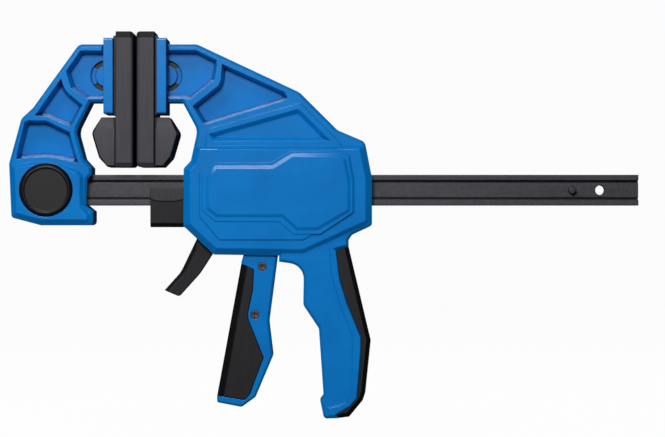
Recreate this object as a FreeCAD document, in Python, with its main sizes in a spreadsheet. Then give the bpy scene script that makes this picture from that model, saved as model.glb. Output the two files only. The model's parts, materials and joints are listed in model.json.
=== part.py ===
import FreeCAD
import Part
import math
import os
import Sketcher

# Quick release bar clamp, in millimetres.
# The bar runs along X, the jaws rise along Z and the clamp is 46 mm wide along Y.
# The outlines are laid out from the bar's centre line and from the clamping face of the
# fixed pad. Each sub-part's Placement then lowers it, so that the origin is the centre of
# that clamping face. The clamp is closed: the moving jaw stands nearest to the fixed one.

# Driving sizes

SIZES = {
    # fits shared by the whole clamp
    "sliding_gap": 0.15,
    "pin_gap": 0.04,
    "contact_gap": 0.3,
    "cut_overrun": 2.0,
    "rest_gap": 2.2,
    "pad_centre_height": 68.8,
    # bar
    "bar_length": 472.0,
    "bar_behind_face": 88.0,
    "bar_height": 23.5,
    "bar_width": 11.0,
    "bar_flange_height": 4.2,
    "bar_web_thickness": 8.0,
    "bar_groove_height": 1.9,
    "bar_groove_web": 4.6,
    "bar_edge_round": 0.6,
    "stop_pin_diameter": 5.6,
    "stop_pin_length": 18.0,
    "stop_pin_from_end": 50.6,
    "end_hole_diameter": 7.2,
    "end_hole_from_end": 29.2,
    # pads
    "pad_height": 102.6,
    "pad_thickness": 13.5,
    "pad_width": 46.0,
    "pad_bevel_height": 5.0,
    "pad_bevel_depth": 3.0,
    "pad_foot_bevel_height": 3.2,
    "pad_foot_bevel_depth": 2.0,
    "pad_edge_round": 2.6,
    "pad_neck": 2.1,
    "heel_reach": 32.0,
    "heel_width": 40.0,
    "heel_height": 37.6,
    "heel_bevel": 2.4,
    "heel_crown_height": 10.5,
    "heel_crown_depth": 2.6,
    "heel_neck_width": 35.0,
    "core_width": 34.0,
    "core_above_heel": 1.2,
    "core_below_top": 3.0,
    "tenon_height": 24.6,
    "tenon_thickness": 6.8,
    "tenon_length": 17.6,
    # both jaws
    "flange_thickness": 7.0,
    "flange_height": 57.3,
    "flange_width": 46.0,
    "flange_edge_round": 1.5,
    "arm_rise": 98.85,
    "arm_width": 33.0,
    "arm_edge_bevel": 2.0,
    "arm_corner_round": 6.0,
    "small_corner_round": 3.0,
    "large_corner_round": 12.0,
    "pocket_draft": 2.2,
    "arm_web": 13.0,
    "socket_height": 87.0,
    "socket_setback": 21.8,
    "socket_radius": 12.1,
    "socket_depth": 1.8,
    "socket_boss_radius": 8.0,
    "socket_slot_width": 3.8,
    # fixed jaw
    "fixed_jaw_length": 72.3,
    "fixed_foot_depth": 15.05,
    "fixed_jaw_width": 38.0,
    "button_setback": 66.5,
    "button_diameter": 39.4,
    "button_thickness": 9.0,
    "button_proud": 1.0,
    "button_gap": 0.6,
    "button_rim_round": 2.6,
    "button_dish": 0.9,
    "bore_floor": 1.8,
    "lock_pin_diameter": 10.0,
    "lock_pin_neck": 6.0,
    "lock_bite": 2.5,
    "clip_diameter": 16.0,
    "clip_thickness": 1.0,
    "clip_recess_depth": 7.0,
    "button_spring_radius": 8.0,
    "button_spring_wire": 1.2,
    "button_spring_turns": 4,
    # moving jaw, housing and rear handle
    "moving_jaw_length": 155.8,
    "housing_drop": 38.25,
    "housing_width": 39.0,
    "housing_bevel": 5.0,
    "face_step": 0.8,
    "rib_step": 0.6,
    "skirt_step": 0.5,
    "panel_step": 1.8,
    "panel_bevel": 3.2,
    "shallow_pocket": 2.4,
    "handle_length": 123.5,
    "handle_grip_skin": 4.0,
    "handle_grip_width": 34.0,
    "handle_grip_bevel": 3.2,
    "handle_tongue_width": 25.0,
    "handle_rim_step": 0.8,
    "cavity_front_wall": 8.6,
    "cavity_rear_wall": 10.6,
    "cavity_width": 31.0,
    "cavity_floor_wall": 9.8,
    "cavity_headroom": 1.0,
    "shoe_length": 25.4,
    "shoe_width": 24.0,
    "shoe_drop": 16.5,
    "shoe_height": 29.9,
    "shoe_bevel": 3.0,
    "shoe_cheek_height": 13.4,
    "shoe_cheek_step": 0.8,
    "shoe_spigot_width": 16.0,
    "shoe_spigot_height": 11.0,
    "shoe_spigot_length": 7.0,
    "screw_diameter": 3.6,
    "screw_head_diameter": 7.4,
    "screw_head_height": 3.2,
    "screw_length": 24.0,
    "screw_head_sink": 1.2,
    # drive
    "pivot_setback": 105.8,
    "pivot_height": 27.0,
    "pivot_pin_diameter": 8.0,
    "pivot_pin_length": 37.0,
    "pivot_eye_radius": 8.0,
    "lever_cheek_gap": 1.0,
    "lever_cheek_thickness": 3.0,
    "lever_tongue_thickness": 6.0,
    "lever_nose_radius": 5.0,
    "lever_nose_lead": 2.6,
    "lever_under_bar": 3.8,
    "drive_plate_thickness": 3.0,
    "drive_plate_width": 24.0,
    "drive_plate_height": 33.0,
    "drive_plate_play": 0.4,
    "drive_spring_radius": 14.2,
    "drive_spring_wire": 1.6,
    "drive_spring_turns": 6,
    # trigger
    "trigger_length": 115.0,
    "trigger_width": 24.0,
    "trigger_edge_bevel": 1.6,
    "trigger_grip_side": 2.4,
    "trigger_grip_bevel": 5.0,
    "trigger_slot_gap": 0.7,
    "trigger_slot_length": 45.5,
    "trigger_slot_depth": 16.0,
    "trigger_screw_diameter": 3.4,
    "trigger_screw_head": 6.4,
    "trigger_screw_head_height": 2.6,
    "trigger_screw_sink": 0.8,
    "trigger_screw_length": 19.0,
    # brake
    "brake_setback": 55.8,
    "brake_anchor_height": 27.0,
    "brake_tilt": 7.5,
    "brake_plate_thickness": 4.0,
    "brake_plate_width": 26.0,
    "brake_lean": 3.56,
    "brake_notch_height": 2.4,
    "brake_foot_wall": 3.2,
    "brake_tail_gap": 1.2,
    "brake_tail_length": 11.0,
    "brake_tail_width": 10.0,
    "brake_plate_play": 0.08,
    "brake_side_play": 0.3,
    "release_lever_width": 16.0,
    "release_slot_gap": 0.6,
    "release_slot_length": 20.5,
    "lever_front_bevel": 3.0,
    "lever_bend_round": 24.0,
    "spring_post_width": 3.5,
    "brake_spring_radius": 4.6,
    "brake_spring_wire": 1.1,
    "brake_spring_turns": 4,
    "brake_spring_drop": 6.4,
}


class Length:
    """A size with the sheet formula that gives it, so that both follow the sheet."""

    def __init__(self, value, formula):
        self.value = value
        self.formula = formula

    def __add__(self, other):
        return Length(self.value + other.value, "(%s + %s)" % (self.formula, other.formula))

    def __sub__(self, other):
        return Length(self.value - other.value, "(%s - %s)" % (self.formula, other.formula))

    def __mul__(self, share):
        return Length(self.value * share, "(%s * %r)" % (self.formula, share))

    def __truediv__(self, parts):
        return Length(self.value / parts, "(%s / %r)" % (self.formula, parts))

    def __neg__(self):
        return Length(-self.value, "(0 - %s)" % self.formula)

    def sine_share(self, angle):
        return self * math.sin(math.radians(angle))

    def cosine_share(self, angle):
        return self * math.cos(math.radians(angle))


class Sizes:
    """The driving sizes by name."""


ZERO = Length(0.0, "0")
EDGE_TOLERANCE = 1e-4
NEAR = 1
FAR = -1

doc = FreeCAD.newDocument("QuickReleaseBarClamp")
sheet = doc.addObject("Spreadsheet::Sheet", "Sizes")
size = Sizes()
for row, (name, value) in enumerate(SIZES.items(), start=1):
    sheet.set("A%d" % row, name)
    sheet.set("B%d" % row, str(value))
    sheet.setAlias("B%d" % row, name)
    setattr(size, name, Length(value, "Sizes.%s" % name))
doc.recompute()


# Places shared by several pieces

bar_half = size.bar_height / 2
bar_side = size.bar_width / 2
slot_half = bar_half + size.sliding_gap
slot_side = bar_side + size.sliding_gap
arm_side = size.arm_width / 2
flange_back = size.pad_thickness + size.pad_neck + size.flange_thickness
flange_front = size.pad_thickness + size.pad_neck
pad_top = size.pad_centre_height + size.pad_height / 2
pad_foot = size.pad_centre_height - size.pad_height / 2
flange_mid = pad_top - size.flange_height / 2 - size.pad_bevel_height
housing_side = size.housing_width / 2
cavity_side = size.cavity_width / 2


def fixed_x(share):
    return -(flange_back + size.fixed_jaw_length * share)


def moving_x(share):
    return size.rest_gap + flange_back + size.moving_jaw_length * share


def above(share):
    return bar_half + size.arm_rise * share


def below_fixed(share):
    return -(bar_half + size.fixed_foot_depth * share)


def below_housing(share):
    return -(bar_half + size.housing_drop * share)


def down_handle(share):
    return -(bar_half + size.housing_drop + size.handle_length * share)


def down_trigger(share):
    return -(bar_half + size.housing_drop + size.trigger_length * share)


HOUSING_FRONT_SHARE = 0.081

housing_front = moving_x(HOUSING_FRONT_SHARE)
housing_rear = moving_x(1)
cavity_front = housing_front + size.cavity_front_wall
cavity_rear = housing_rear - size.cavity_rear_wall
cavity_top = size.pivot_height + size.pivot_eye_radius + size.cavity_headroom
cavity_floor = below_housing(1) + size.cavity_floor_wall
pivot_x = size.rest_gap + size.pivot_setback
nose_x = pivot_x - size.lever_nose_lead
plates_front = nose_x + size.lever_nose_radius + size.contact_gap
plates_rear = plates_front + size.drive_plate_thickness * 2
brake_x = size.rest_gap + size.brake_setback
button_face = size.fixed_jaw_width / 2 + size.button_proud
button_back = button_face - size.button_thickness
button_floor = button_face - size.button_thickness / 3
bore_depth_left = slot_side + size.bore_floor


# Sketches

def plane_of(owner, role):
    for plane in owner.Origin.OriginFeatures:
        if plane.Role == role:
            return plane
    raise ValueError(role)


def new_sketch(owner, label, role, offset=ZERO):
    sketch = owner.newObject("Sketcher::SketchObject", owner.Name + "_" + label)
    sketch.AttachmentSupport = [(plane_of(owner, role), "")]
    sketch.MapMode = "FlatFace"
    place = FreeCAD.Vector(0, 0, offset.value)
    sketch.AttachmentOffset = FreeCAD.Placement(place, FreeCAD.Rotation())
    sketch.setExpression("AttachmentOffset.Base.z", offset.formula)
    return sketch


def constrain(sketch, rows):
    """Adds rows of (kind, references) or (kind, references, length) in one step."""
    base = sketch.ConstraintCount
    made = []
    for kind, refs, *length in rows:
        values = [item.value for item in length]
        made.append(Sketcher.Constraint(kind, *refs, *values))
    sketch.addConstraint(made)
    for offset, row in enumerate(rows):
        if len(row) == 3:
            sketch.setExpression("Constraints[%d]" % (base + offset), row[2].formula)


def rounded_corner(before, here, after, radius):
    """The arc that rounds a corner, and whether it runs from the first side to the second."""
    to_before = (before - here).normalize()
    to_after = (after - here).normalize()
    half_angle = to_before.getAngle(to_after) / 2
    reach = radius / math.tan(half_angle)
    middle = here + (to_before + to_after).normalize() * (radius / math.sin(half_angle))
    first = here + to_before * reach - middle
    second = here + to_after * reach - middle
    first_angle = math.atan2(first.y, first.x)
    second_angle = math.atan2(second.y, second.x)
    forward = to_before.cross(to_after).z < 0
    if not forward:
        first_angle, second_angle = second_angle, first_angle
    circle = Part.Circle(middle, FreeCAD.Vector(0, 0, 1), radius)
    arc = Part.ArcOfCircle(circle, first_angle, second_angle)
    return arc, forward, middle + first, middle + second


def draw_outline(sketch, corners):
    """A closed outline. Each corner is (across, up) or, where it is rounded, (across, up, radius)."""
    count = len(corners)
    base = sketch.GeometryCount
    points = [FreeCAD.Vector(corner[0].value, corner[1].value, 0) for corner in corners]
    rounds = {}
    for index, corner in enumerate(corners):
        if len(corner) == 3:
            after = points[(index + 1) % count]
            rounds[index] = rounded_corner(points[index - 1], points[index], after, corner[2].value)
    sides = []
    for index in range(count):
        following = (index + 1) % count
        start = rounds[index][3] if index in rounds else points[index]
        end = rounds[following][2] if following in rounds else points[following]
        sides.append(Part.LineSegment(start, end))
    sketch.addGeometry(sides)
    rows = []
    for index, corner in enumerate(corners):
        side_before = base + (index - 1) % count
        side_after = base + index
        if index not in rounds:
            rows.append(("Coincident", (side_before, 2, side_after, 1)))
            place = (side_after, 1)
        else:
            arc, forward, first, second = rounds[index]
            curve = sketch.addGeometry(arc)
            mark = sketch.addGeometry(Part.Point(points[index]), True)
            near_end = 1 if forward else 2
            far_end = 2 if forward else 1
            rows.append(("Tangent", (side_before, 2, curve, near_end)))
            rows.append(("Tangent", (curve, far_end, side_after, 1)))
            rows.append(("PointOnObject", (mark, 1, side_before)))
            rows.append(("PointOnObject", (mark, 1, side_after)))
            rows.append(("Radius", (curve,), corner[2]))
            place = (mark, 1)
        rows.append(("DistanceX", (-1, 1) + place, corner[0]))
        rows.append(("DistanceY", (-1, 1) + place, corner[1]))
    constrain(sketch, rows)


def draw_circle(sketch, across, up, radius):
    middle = FreeCAD.Vector(across.value, up.value, 0)
    circle = Part.Circle(middle, FreeCAD.Vector(0, 0, 1), radius.value)
    curve = sketch.addGeometry(circle)
    constrain(sketch, [
        ("Radius", (curve,), radius),
        ("DistanceX", (-1, 1, curve, 3), across),
        ("DistanceY", (-1, 1, curve, 3), up),
    ])


def box_corners(left, right, bottom, top):
    return [(left, bottom), (right, bottom), (right, top), (left, top)]


# Features

def new_body(name, place=ZERO):
    owner = doc.addObject("PartDesign::Body", name)
    owner.Label = name
    lowered = -size.pad_centre_height
    base = FreeCAD.Vector(place.value, 0, lowered.value)
    owner.Placement = FreeCAD.Placement(base, FreeCAD.Rotation())
    owner.setExpression("Placement.Base.x", place.formula)
    owner.setExpression("Placement.Base.z", lowered.formula)
    return owner


def pad(owner, sketch, length, reverse=False, both=False, bevel=None):
    """Thickens a sketch. With a bevel, the sides draw in by that much over the length."""
    feature = owner.newObject("PartDesign::Pad", sketch.Name + "_pad")
    feature.Profile = sketch
    feature.Length = length.value
    feature.setExpression("Length", length.formula)
    feature.SideType = "Symmetric" if both else "One side"
    feature.Reversed = reverse
    if bevel is not None:
        slope = math.degrees(math.atan2(bevel.value, length.value))
        feature.TaperAngle = -slope
        feature.setExpression("TaperAngle", "0 deg - atan(%s / %s)" % (bevel.formula, length.formula))
    return feature


def pocket(owner, sketch, depth, reverse=False, both=False, bevel=None):
    """Cuts a sketch away. With a bevel, the walls lean in by that much over the depth."""
    feature = owner.newObject("PartDesign::Pocket", sketch.Name + "_pocket")
    feature.Profile = sketch
    feature.Length = depth.value
    feature.setExpression("Length", depth.formula)
    feature.SideType = "Symmetric" if both else "One side"
    feature.Reversed = reverse
    if bevel is not None:
        slope = math.degrees(math.atan2(bevel.value, depth.value))
        feature.TaperAngle = -slope
        feature.setExpression("TaperAngle", "0 deg - atan(%s / %s)" % (bevel.formula, depth.formula))
    return feature


def slab(owner, label, corners, width):
    """A plate with an outline in the XZ plane, centred on the clamp's middle plane."""
    sketch = new_sketch(owner, label, "XZ_Plane")
    draw_outline(sketch, corners)
    return pad(owner, sketch, width, both=True)


def cut_through(owner, label, corners, width):
    """A cut with an outline in the XZ plane, centred on the clamp's middle plane."""
    sketch = new_sketch(owner, label, "XZ_Plane")
    draw_outline(sketch, corners)
    return pocket(owner, sketch, width, both=True)


def bore_through(owner, label, circles, width):
    sketch = new_sketch(owner, label, "XZ_Plane")
    for across, up, radius in circles:
        draw_circle(sketch, across, up, radius)
    return pocket(owner, sketch, width, both=True)


def raise_side(owner, label, corners, start, height, side, bevel=None):
    """Adds a layer on one side of the clamp, outward from start."""
    sketch = new_sketch(owner, label, "XZ_Plane", start * side)
    draw_outline(sketch, corners)
    return pad(owner, sketch, height, reverse=side == FAR, bevel=bevel)


def sink_side(owner, label, corners, start, depth, side, bevel=None):
    """Cuts into one side of the clamp, inward from start."""
    sketch = new_sketch(owner, label, "XZ_Plane", start * side)
    draw_outline(sketch, corners)
    return pocket(owner, sketch, depth, reverse=side == FAR, bevel=bevel)


def sink_round(owner, label, circles, start, depth, side):
    sketch = new_sketch(owner, label, "XZ_Plane", start * side)
    for across, up, radius in circles:
        draw_circle(sketch, across, up, radius)
    return pocket(owner, sketch, depth, reverse=side == FAR)


def raise_round(owner, label, circles, start, height, side):
    sketch = new_sketch(owner, label, "XZ_Plane", start * side)
    for across, up, radius in circles:
        draw_circle(sketch, across, up, radius)
    return pad(owner, sketch, height, reverse=side == FAR)


def hollow_side(owner, label, corners, depth, side):
    """Cuts outward from the middle plane into one half."""
    sketch = new_sketch(owner, label, "XZ_Plane")
    draw_outline(sketch, corners)
    return pocket(owner, sketch, depth, reverse=side == NEAR)


def turned(owner, label, profile):
    """A solid of revolution about the Y axis, from a profile of (along Y, radius) points."""
    sketch = new_sketch(owner, label, "YZ_Plane")
    draw_outline(sketch, profile)
    feature = owner.newObject("PartDesign::Revolution", sketch.Name + "_turned")
    feature.Profile = sketch
    feature.ReferenceAxis = (sketch, ["H_Axis"])
    feature.Angle = 360
    return feature


def edges_on_plane(feature, axis, place):
    """Names of the edges that lie wholly on the plane where the axis has this value."""
    names = []
    for number, edge in enumerate(feature.Shape.Edges, start=1):
        ends = (edge.BoundBox.XMin, edge.BoundBox.XMax)
        if axis == "y":
            ends = (edge.BoundBox.YMin, edge.BoundBox.YMax)
        if axis == "z":
            ends = (edge.BoundBox.ZMin, edge.BoundBox.ZMax)
        if max(abs(ends[0] - place), abs(ends[1] - place)) < EDGE_TOLERANCE:
            names.append("Edge%d" % number)
    return names


def fillet(owner, base, edges, radius):
    feature = owner.newObject("PartDesign::Fillet", base.Name + "_fillet")
    feature.Base = (base, edges)
    feature.Radius = radius.value
    feature.setExpression("Radius", radius.formula)
    return feature


def chamfer(owner, base, edges, width):
    feature = owner.newObject("PartDesign::Chamfer", base.Name + "_chamfer")
    feature.Base = (base, edges)
    feature.Size = width.value
    feature.setExpression("Size", width.formula)
    return feature


# Corners in the shares of each region

def fixed_high(across, up, radius=None):
    place = (fixed_x(across), above(up))
    return place if radius is None else place + (radius,)


def fixed_low(across, down, radius=None):
    place = (fixed_x(across), below_fixed(down))
    return place if radius is None else place + (radius,)


def jaw_high(across, up, radius=None):
    place = (moving_x(across), above(up))
    return place if radius is None else place + (radius,)


def jaw_low(across, down, radius=None):
    place = (moving_x(across), below_housing(down))
    return place if radius is None else place + (radius,)


def handle_point(across, down, radius=None):
    place = (moving_x(across), down_handle(down))
    return place if radius is None else place + (radius,)


def trigger_point(across, down, radius=None):
    place = (trigger_x(across), down_trigger(down))
    return place if radius is None else place + (radius,)


def fixed_mid(across, up, radius=None):
    place = (fixed_x(across), bar_half * up)
    return place if radius is None else place + (radius,)


def jaw_mid(across, up, radius=None):
    place = (moving_x(across), bar_half * up)
    return place if radius is None else place + (radius,)


def trigger_x(across):
    return pivot_x + size.trigger_length * across


def placed(shares):
    """Corners from rows of a region, its two shares and, where it is rounded, a radius."""
    return [region(*place) for region, *place in shares]


def between(first, second, share):
    """The corner part of the way from one corner to another."""
    across = first[0] * (1 - share) + second[0] * share
    up = first[1] * (1 - share) + second[1] * share
    return (across, up)


# Bar

def build_bar():
    owner = new_body("bar")
    flange_in = bar_half - size.bar_flange_height
    panel = flange_in - size.bar_groove_height
    web = size.bar_web_thickness / 2
    groove = size.bar_groove_web / 2
    near_half = [
        (bar_side, -bar_half, size.bar_edge_round),
        (bar_side, -flange_in),
        (groove, -flange_in),
        (groove, -panel),
        (web, -panel),
        (web, panel),
        (groove, panel),
        (groove, flange_in),
        (bar_side, flange_in),
        (bar_side, bar_half, size.bar_edge_round),
    ]
    far_half = [(-corner[0], corner[1]) + corner[2:] for corner in reversed(near_half)]
    sketch = new_sketch(owner, "section", "YZ_Plane", -size.bar_behind_face)
    draw_outline(sketch, near_half + far_half)
    pad(owner, sketch, size.bar_length)
    bar_end = size.bar_length - size.bar_behind_face
    pin_x = -size.button_setback
    neck = size.lock_pin_neck / 2 + size.sliding_gap
    slot = box_corners(-(size.bar_behind_face + size.cut_overrun), pin_x, -neck, neck)
    cut_through(owner, "slot", slot, size.bar_width)
    holes = [
        (pin_x, ZERO, neck),
        (bar_end - size.stop_pin_from_end, ZERO, size.stop_pin_diameter / 2),
        (bar_end - size.end_hole_from_end, ZERO, size.end_hole_diameter / 2),
    ]
    bore_through(owner, "holes", holes, size.bar_width)
    seat = [(pin_x, ZERO, size.lock_pin_diameter / 2 + size.sliding_gap)]
    sink_round(owner, "pin_seat", seat, bar_side, bar_side - web + size.lock_bite, FAR)
    return owner


def build_stop_pin():
    place = size.bar_length - size.bar_behind_face - size.stop_pin_from_end
    owner = new_body("bar_stop_pin", place)
    reach = size.stop_pin_length / 2
    radius = size.stop_pin_diameter / 2
    bevel = size.bar_edge_round
    turned(owner, "body", [
        (-reach, ZERO),
        (-reach, radius - bevel),
        (bevel - reach, radius),
        (reach - bevel, radius),
        (reach, radius - bevel),
        (reach, ZERO),
    ])
    return owner


# Pads. Each is laid out by its distance behind its own clamping face, and facing is -1
# for the fixed jaw's side and 1 for the moving jaw's side.

def pad_x(distance, facing):
    return distance * facing if facing < 0 else distance + size.rest_gap


def pad_box(first, second, bottom, top, facing):
    return box_corners(*sorted_pair(pad_x(first, facing), pad_x(second, facing)), bottom, top)


def sorted_pair(first, second):
    return (first, second) if first.value < second.value else (second, first)


# The heel's outline behind the neck: shares of its reach and of its height, from the top
HEEL_TOP_SHARE = 0.769
HEEL_BACK_SHARES = (1.0, 0.69)
HEEL_LOW_SHARES = (0.822, 0.183)
HEEL_FOOT_SHARE = 0.622


def build_pad(name, facing):
    owner = new_body(name)
    side = size.pad_width / 2
    narrow = side - size.pad_bevel_depth
    foot_side = side - size.pad_foot_bevel_depth
    shoulder = pad_top - size.pad_bevel_height
    ankle = pad_foot + size.pad_foot_bevel_height
    sketch = new_sketch(owner, "plate", "YZ_Plane", pad_x(ZERO, facing))
    draw_outline(sketch, [
        (-foot_side, pad_foot),
        (foot_side, pad_foot),
        (side, ankle),
        (side, shoulder),
        (narrow, pad_top),
        (-narrow, pad_top),
        (-side, shoulder),
        (-side, ankle),
    ])
    plate = pad(owner, sketch, size.pad_thickness, reverse=facing < 0)
    doc.recompute()
    face_edges = edges_on_plane(plate, "x", pad_x(ZERO, facing).value)
    fillet(owner, plate, face_edges, size.pad_edge_round)
    heel_top = pad_foot + size.heel_height
    neck = pad_box(size.pad_thickness, flange_front, pad_foot, heel_top, facing)
    slab(owner, "heel_neck", neck, size.heel_neck_width)
    back_reach, back_rise = HEEL_BACK_SHARES
    low_reach, low_rise = HEEL_LOW_SHARES
    back = pad_x(size.heel_reach * back_reach, facing)
    low = pad_x(size.heel_reach * low_reach, facing)
    round_off = size.arm_corner_round
    heel = [
        (pad_x(flange_front, facing), heel_top),
        (pad_x(size.heel_reach * HEEL_TOP_SHARE, facing), heel_top),
        (back, pad_foot + size.heel_height * back_rise, round_off),
        (low, pad_foot + size.heel_height * low_rise, round_off),
        (pad_x(size.heel_reach * HEEL_FOOT_SHARE, facing), pad_foot),
        (pad_x(flange_front, facing), pad_foot),
    ]
    slab(owner, "heel", heel, size.heel_width - size.heel_bevel * 2)
    start = size.heel_width / 2 - size.heel_bevel
    raise_side(owner, "heel_near", heel, start, size.heel_bevel, NEAR, bevel=size.heel_bevel)
    raise_side(owner, "heel_far", heel, start, size.heel_bevel, FAR, bevel=size.heel_bevel)
    outside = size.heel_width / 2 + size.cut_overrun
    crown = size.heel_width / 2 - size.heel_crown_depth
    crown_foot = heel_top - size.heel_crown_height
    slope = size.cut_overrun * size.heel_crown_height.value / size.heel_crown_depth.value
    sketch = new_sketch(owner, "crown", "YZ_Plane", pad_x(flange_front, facing))
    for side in (NEAR, FAR):
        draw_outline(sketch, [
            (crown * side, heel_top),
            (outside * side, crown_foot - slope),
            (outside * side, heel_top),
        ])
    pocket(owner, sketch, size.heel_reach - flange_front, reverse=facing > 0)
    return owner


def build_pad_core(name, facing):
    owner = new_body(name)
    bottom = pad_foot + size.heel_height + size.core_above_heel
    top = pad_top - size.core_below_top
    plate = pad_box(size.pad_thickness, flange_front, bottom, top, facing)
    slab(owner, "plate", plate, size.core_width)
    low = size.socket_height - size.tenon_height / 2
    high = size.socket_height + size.tenon_height / 2
    tenon = pad_box(flange_front, flange_front + size.tenon_length, low, high, facing)
    slab(owner, "tenon", tenon, size.tenon_thickness)
    return owner


def add_flange(owner, facing, side=None):
    """The broad plate that backs a pad. One side only on the halves of the moving jaw."""
    half = size.flange_width / 2
    low = flange_mid - size.flange_height / 2
    high = flange_mid + size.flange_height / 2
    rounding = size.flange_edge_round
    near_side = -half if side in (None, NEAR) else ZERO
    far_side = half if side in (None, FAR) else ZERO
    corners = [
        (near_side, low) + ((rounding,) if near_side is not ZERO else ()),
        (far_side, low) + ((rounding,) if far_side is not ZERO else ()),
        (far_side, high) + ((rounding,) if far_side is not ZERO else ()),
        (near_side, high) + ((rounding,) if near_side is not ZERO else ()),
    ]
    sketch = new_sketch(owner, "flange", "YZ_Plane", pad_x(flange_front, facing))
    draw_outline(sketch, corners)
    return pad(owner, sketch, size.flange_thickness, reverse=facing < 0)


# The round socket that holds a pad's tenon

def draw_arc_slot(sketch, across, up, inner, outer, start, end):
    """A curved slot about a centre, between two radii and two angles in degrees."""
    middle = FreeCAD.Vector(across.value, up.value, 0)
    arcs = []
    for radius in (inner, outer):
        circle = Part.Circle(middle, FreeCAD.Vector(0, 0, 1), radius.value)
        arcs.append(Part.ArcOfCircle(circle, math.radians(start), math.radians(end)))
    first = sketch.addGeometry(arcs[0])
    last = sketch.addGeometry(arcs[1])
    opening = sketch.addGeometry(Part.LineSegment(arcs[0].StartPoint, arcs[1].StartPoint))
    closing = sketch.addGeometry(Part.LineSegment(arcs[0].EndPoint, arcs[1].EndPoint))
    constrain(sketch, [
        ("Radius", (first,), inner),
        ("Radius", (last,), outer),
        ("DistanceX", (-1, 1, first, 3), across),
        ("DistanceY", (-1, 1, first, 3), up),
        ("Coincident", (first, 3, last, 3)),
        ("Coincident", (first, 1, opening, 1)),
        ("Coincident", (last, 1, opening, 2)),
        ("Coincident", (first, 2, closing, 1)),
        ("Coincident", (last, 2, closing, 2)),
        ("DistanceX", (first, 3, first, 1), inner.cosine_share(start)),
        ("DistanceX", (first, 3, first, 2), inner.cosine_share(end)),
        ("DistanceX", (last, 3, last, 1), outer.cosine_share(start)),
        ("DistanceX", (last, 3, last, 2), outer.cosine_share(end)),
    ])


# Where the arc slots start and end, in degrees from the socket's far side
SLOT_ANGLES = ((36, 80), (-80, -36))


def add_socket(owner, facing, side=None):
    """The ring recess round the boss, on one side or on both."""
    middle = pad_x(size.socket_setback, facing)
    sides = (NEAR, FAR) if side is None else (side,)
    for here in sides:
        sketch = new_sketch(owner, "ring_%d" % (here + 1), "XZ_Plane", size.arm_web / 2 * here)
        draw_circle(sketch, middle, size.socket_height, size.socket_radius)
        draw_circle(sketch, middle, size.socket_height, size.socket_boss_radius)
        pocket(owner, sketch, size.socket_depth, reverse=here == FAR)


def cut_socket(owner, facing):
    """The hollow for the tenon, and the arc slots that open on it."""
    low = size.socket_height - size.tenon_height / 2 - size.sliding_gap
    high = size.socket_height + size.tenon_height / 2 + size.sliding_gap
    deep = flange_front + size.tenon_length + size.sliding_gap
    hollow = pad_box(flange_front - size.cut_overrun, deep, low, high, facing)
    cut_through(owner, "tenon_hollow", hollow, size.tenon_thickness + size.sliding_gap * 2)
    sketch = new_sketch(owner, "arc_slots", "XZ_Plane")
    middle = pad_x(size.socket_setback, facing)
    outer = size.socket_radius - size.sliding_gap * 2
    inner = outer - size.socket_slot_width
    for start, end in SLOT_ANGLES:
        if facing < 0:
            start, end = 180 - end, 180 - start
        draw_arc_slot(sketch, middle, size.socket_height, inner, outer, start, end)
    pocket(owner, sketch, size.arm_web + size.cut_overrun, both=True)


# Fixed jaw

FIXED_FOOT_SHARES = [
    (fixed_low, 0.976, 0.601, size.small_corner_round),
    (fixed_low, 0.664, 1.0),
    (fixed_low, 0.116, 1.0, size.small_corner_round),
    (fixed_low, 0.116, 0.296),
    (fixed_low, 0.192, 0.0),
]


FIXED_ARM_SHARES = [
    (fixed_high, 0.0, 1.0),
    (fixed_high, 0.266, 1.0, size.arm_corner_round),
    (fixed_high, 0.751, 0.51),
    (fixed_high, 0.871, 0.429, size.arm_corner_round),
    (fixed_high, 1.0, 0.084),
]

FIXED_NECK_SHARES = [
    (fixed_mid, 0.178, 0.7),
    (fixed_mid, 0.133, 1.0),
    (fixed_high, 0.133, 0.053),
    (fixed_high, 0.217, 0.12),
    (fixed_high, 0.296, 0.334, size.large_corner_round),
    (fixed_high, 0.144, 0.557),
    (fixed_high, 0.0, 0.557),
]

# The top of the boss round the button, from the left
BOSS_TOP_SHARES = [
    (fixed_high, 1.0, 0.084),
    (fixed_high, 0.773, 0.115),
    (fixed_high, 0.595, 0.12, size.large_corner_round),
    (fixed_high, 0.434, 0.1),
    (fixed_high, 0.249, 0.046),
    (fixed_mid, 0.192, 1.0),
]

FIXED_TIP_POCKET_SHARES = [
    (fixed_high, -0.02, 0.951),
    (fixed_high, 0.248, 0.951),
    (fixed_high, 0.4, 0.791),
    (fixed_high, 0.347, 0.664),
    (fixed_high, 0.184, 0.581),
    (fixed_high, -0.02, 0.581),
]

FIXED_MIDDLE_POCKET_SHARES = [
    (fixed_high, 0.452, 0.736),
    (fixed_high, 0.725, 0.453),
    (fixed_high, 0.588, 0.442),
    (fixed_high, 0.347, 0.365),
    (fixed_high, 0.225, 0.534),
    (fixed_high, 0.373, 0.622),
    (fixed_high, 0.42, 0.667),
]

FIXED_LOWER_POCKET_SHARES = [
    (fixed_high, 0.609, 0.415),
    (fixed_high, 0.798, 0.415),
    (fixed_high, 0.834, 0.403),
    (fixed_high, 0.913, 0.172),
    (fixed_high, 0.92, 0.118),
    (fixed_high, 0.776, 0.13),
    (fixed_high, 0.618, 0.135),
    (fixed_high, 0.462, 0.122),
    (fixed_high, 0.272, 0.088),
    (fixed_high, 0.362, 0.326),
]


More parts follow.
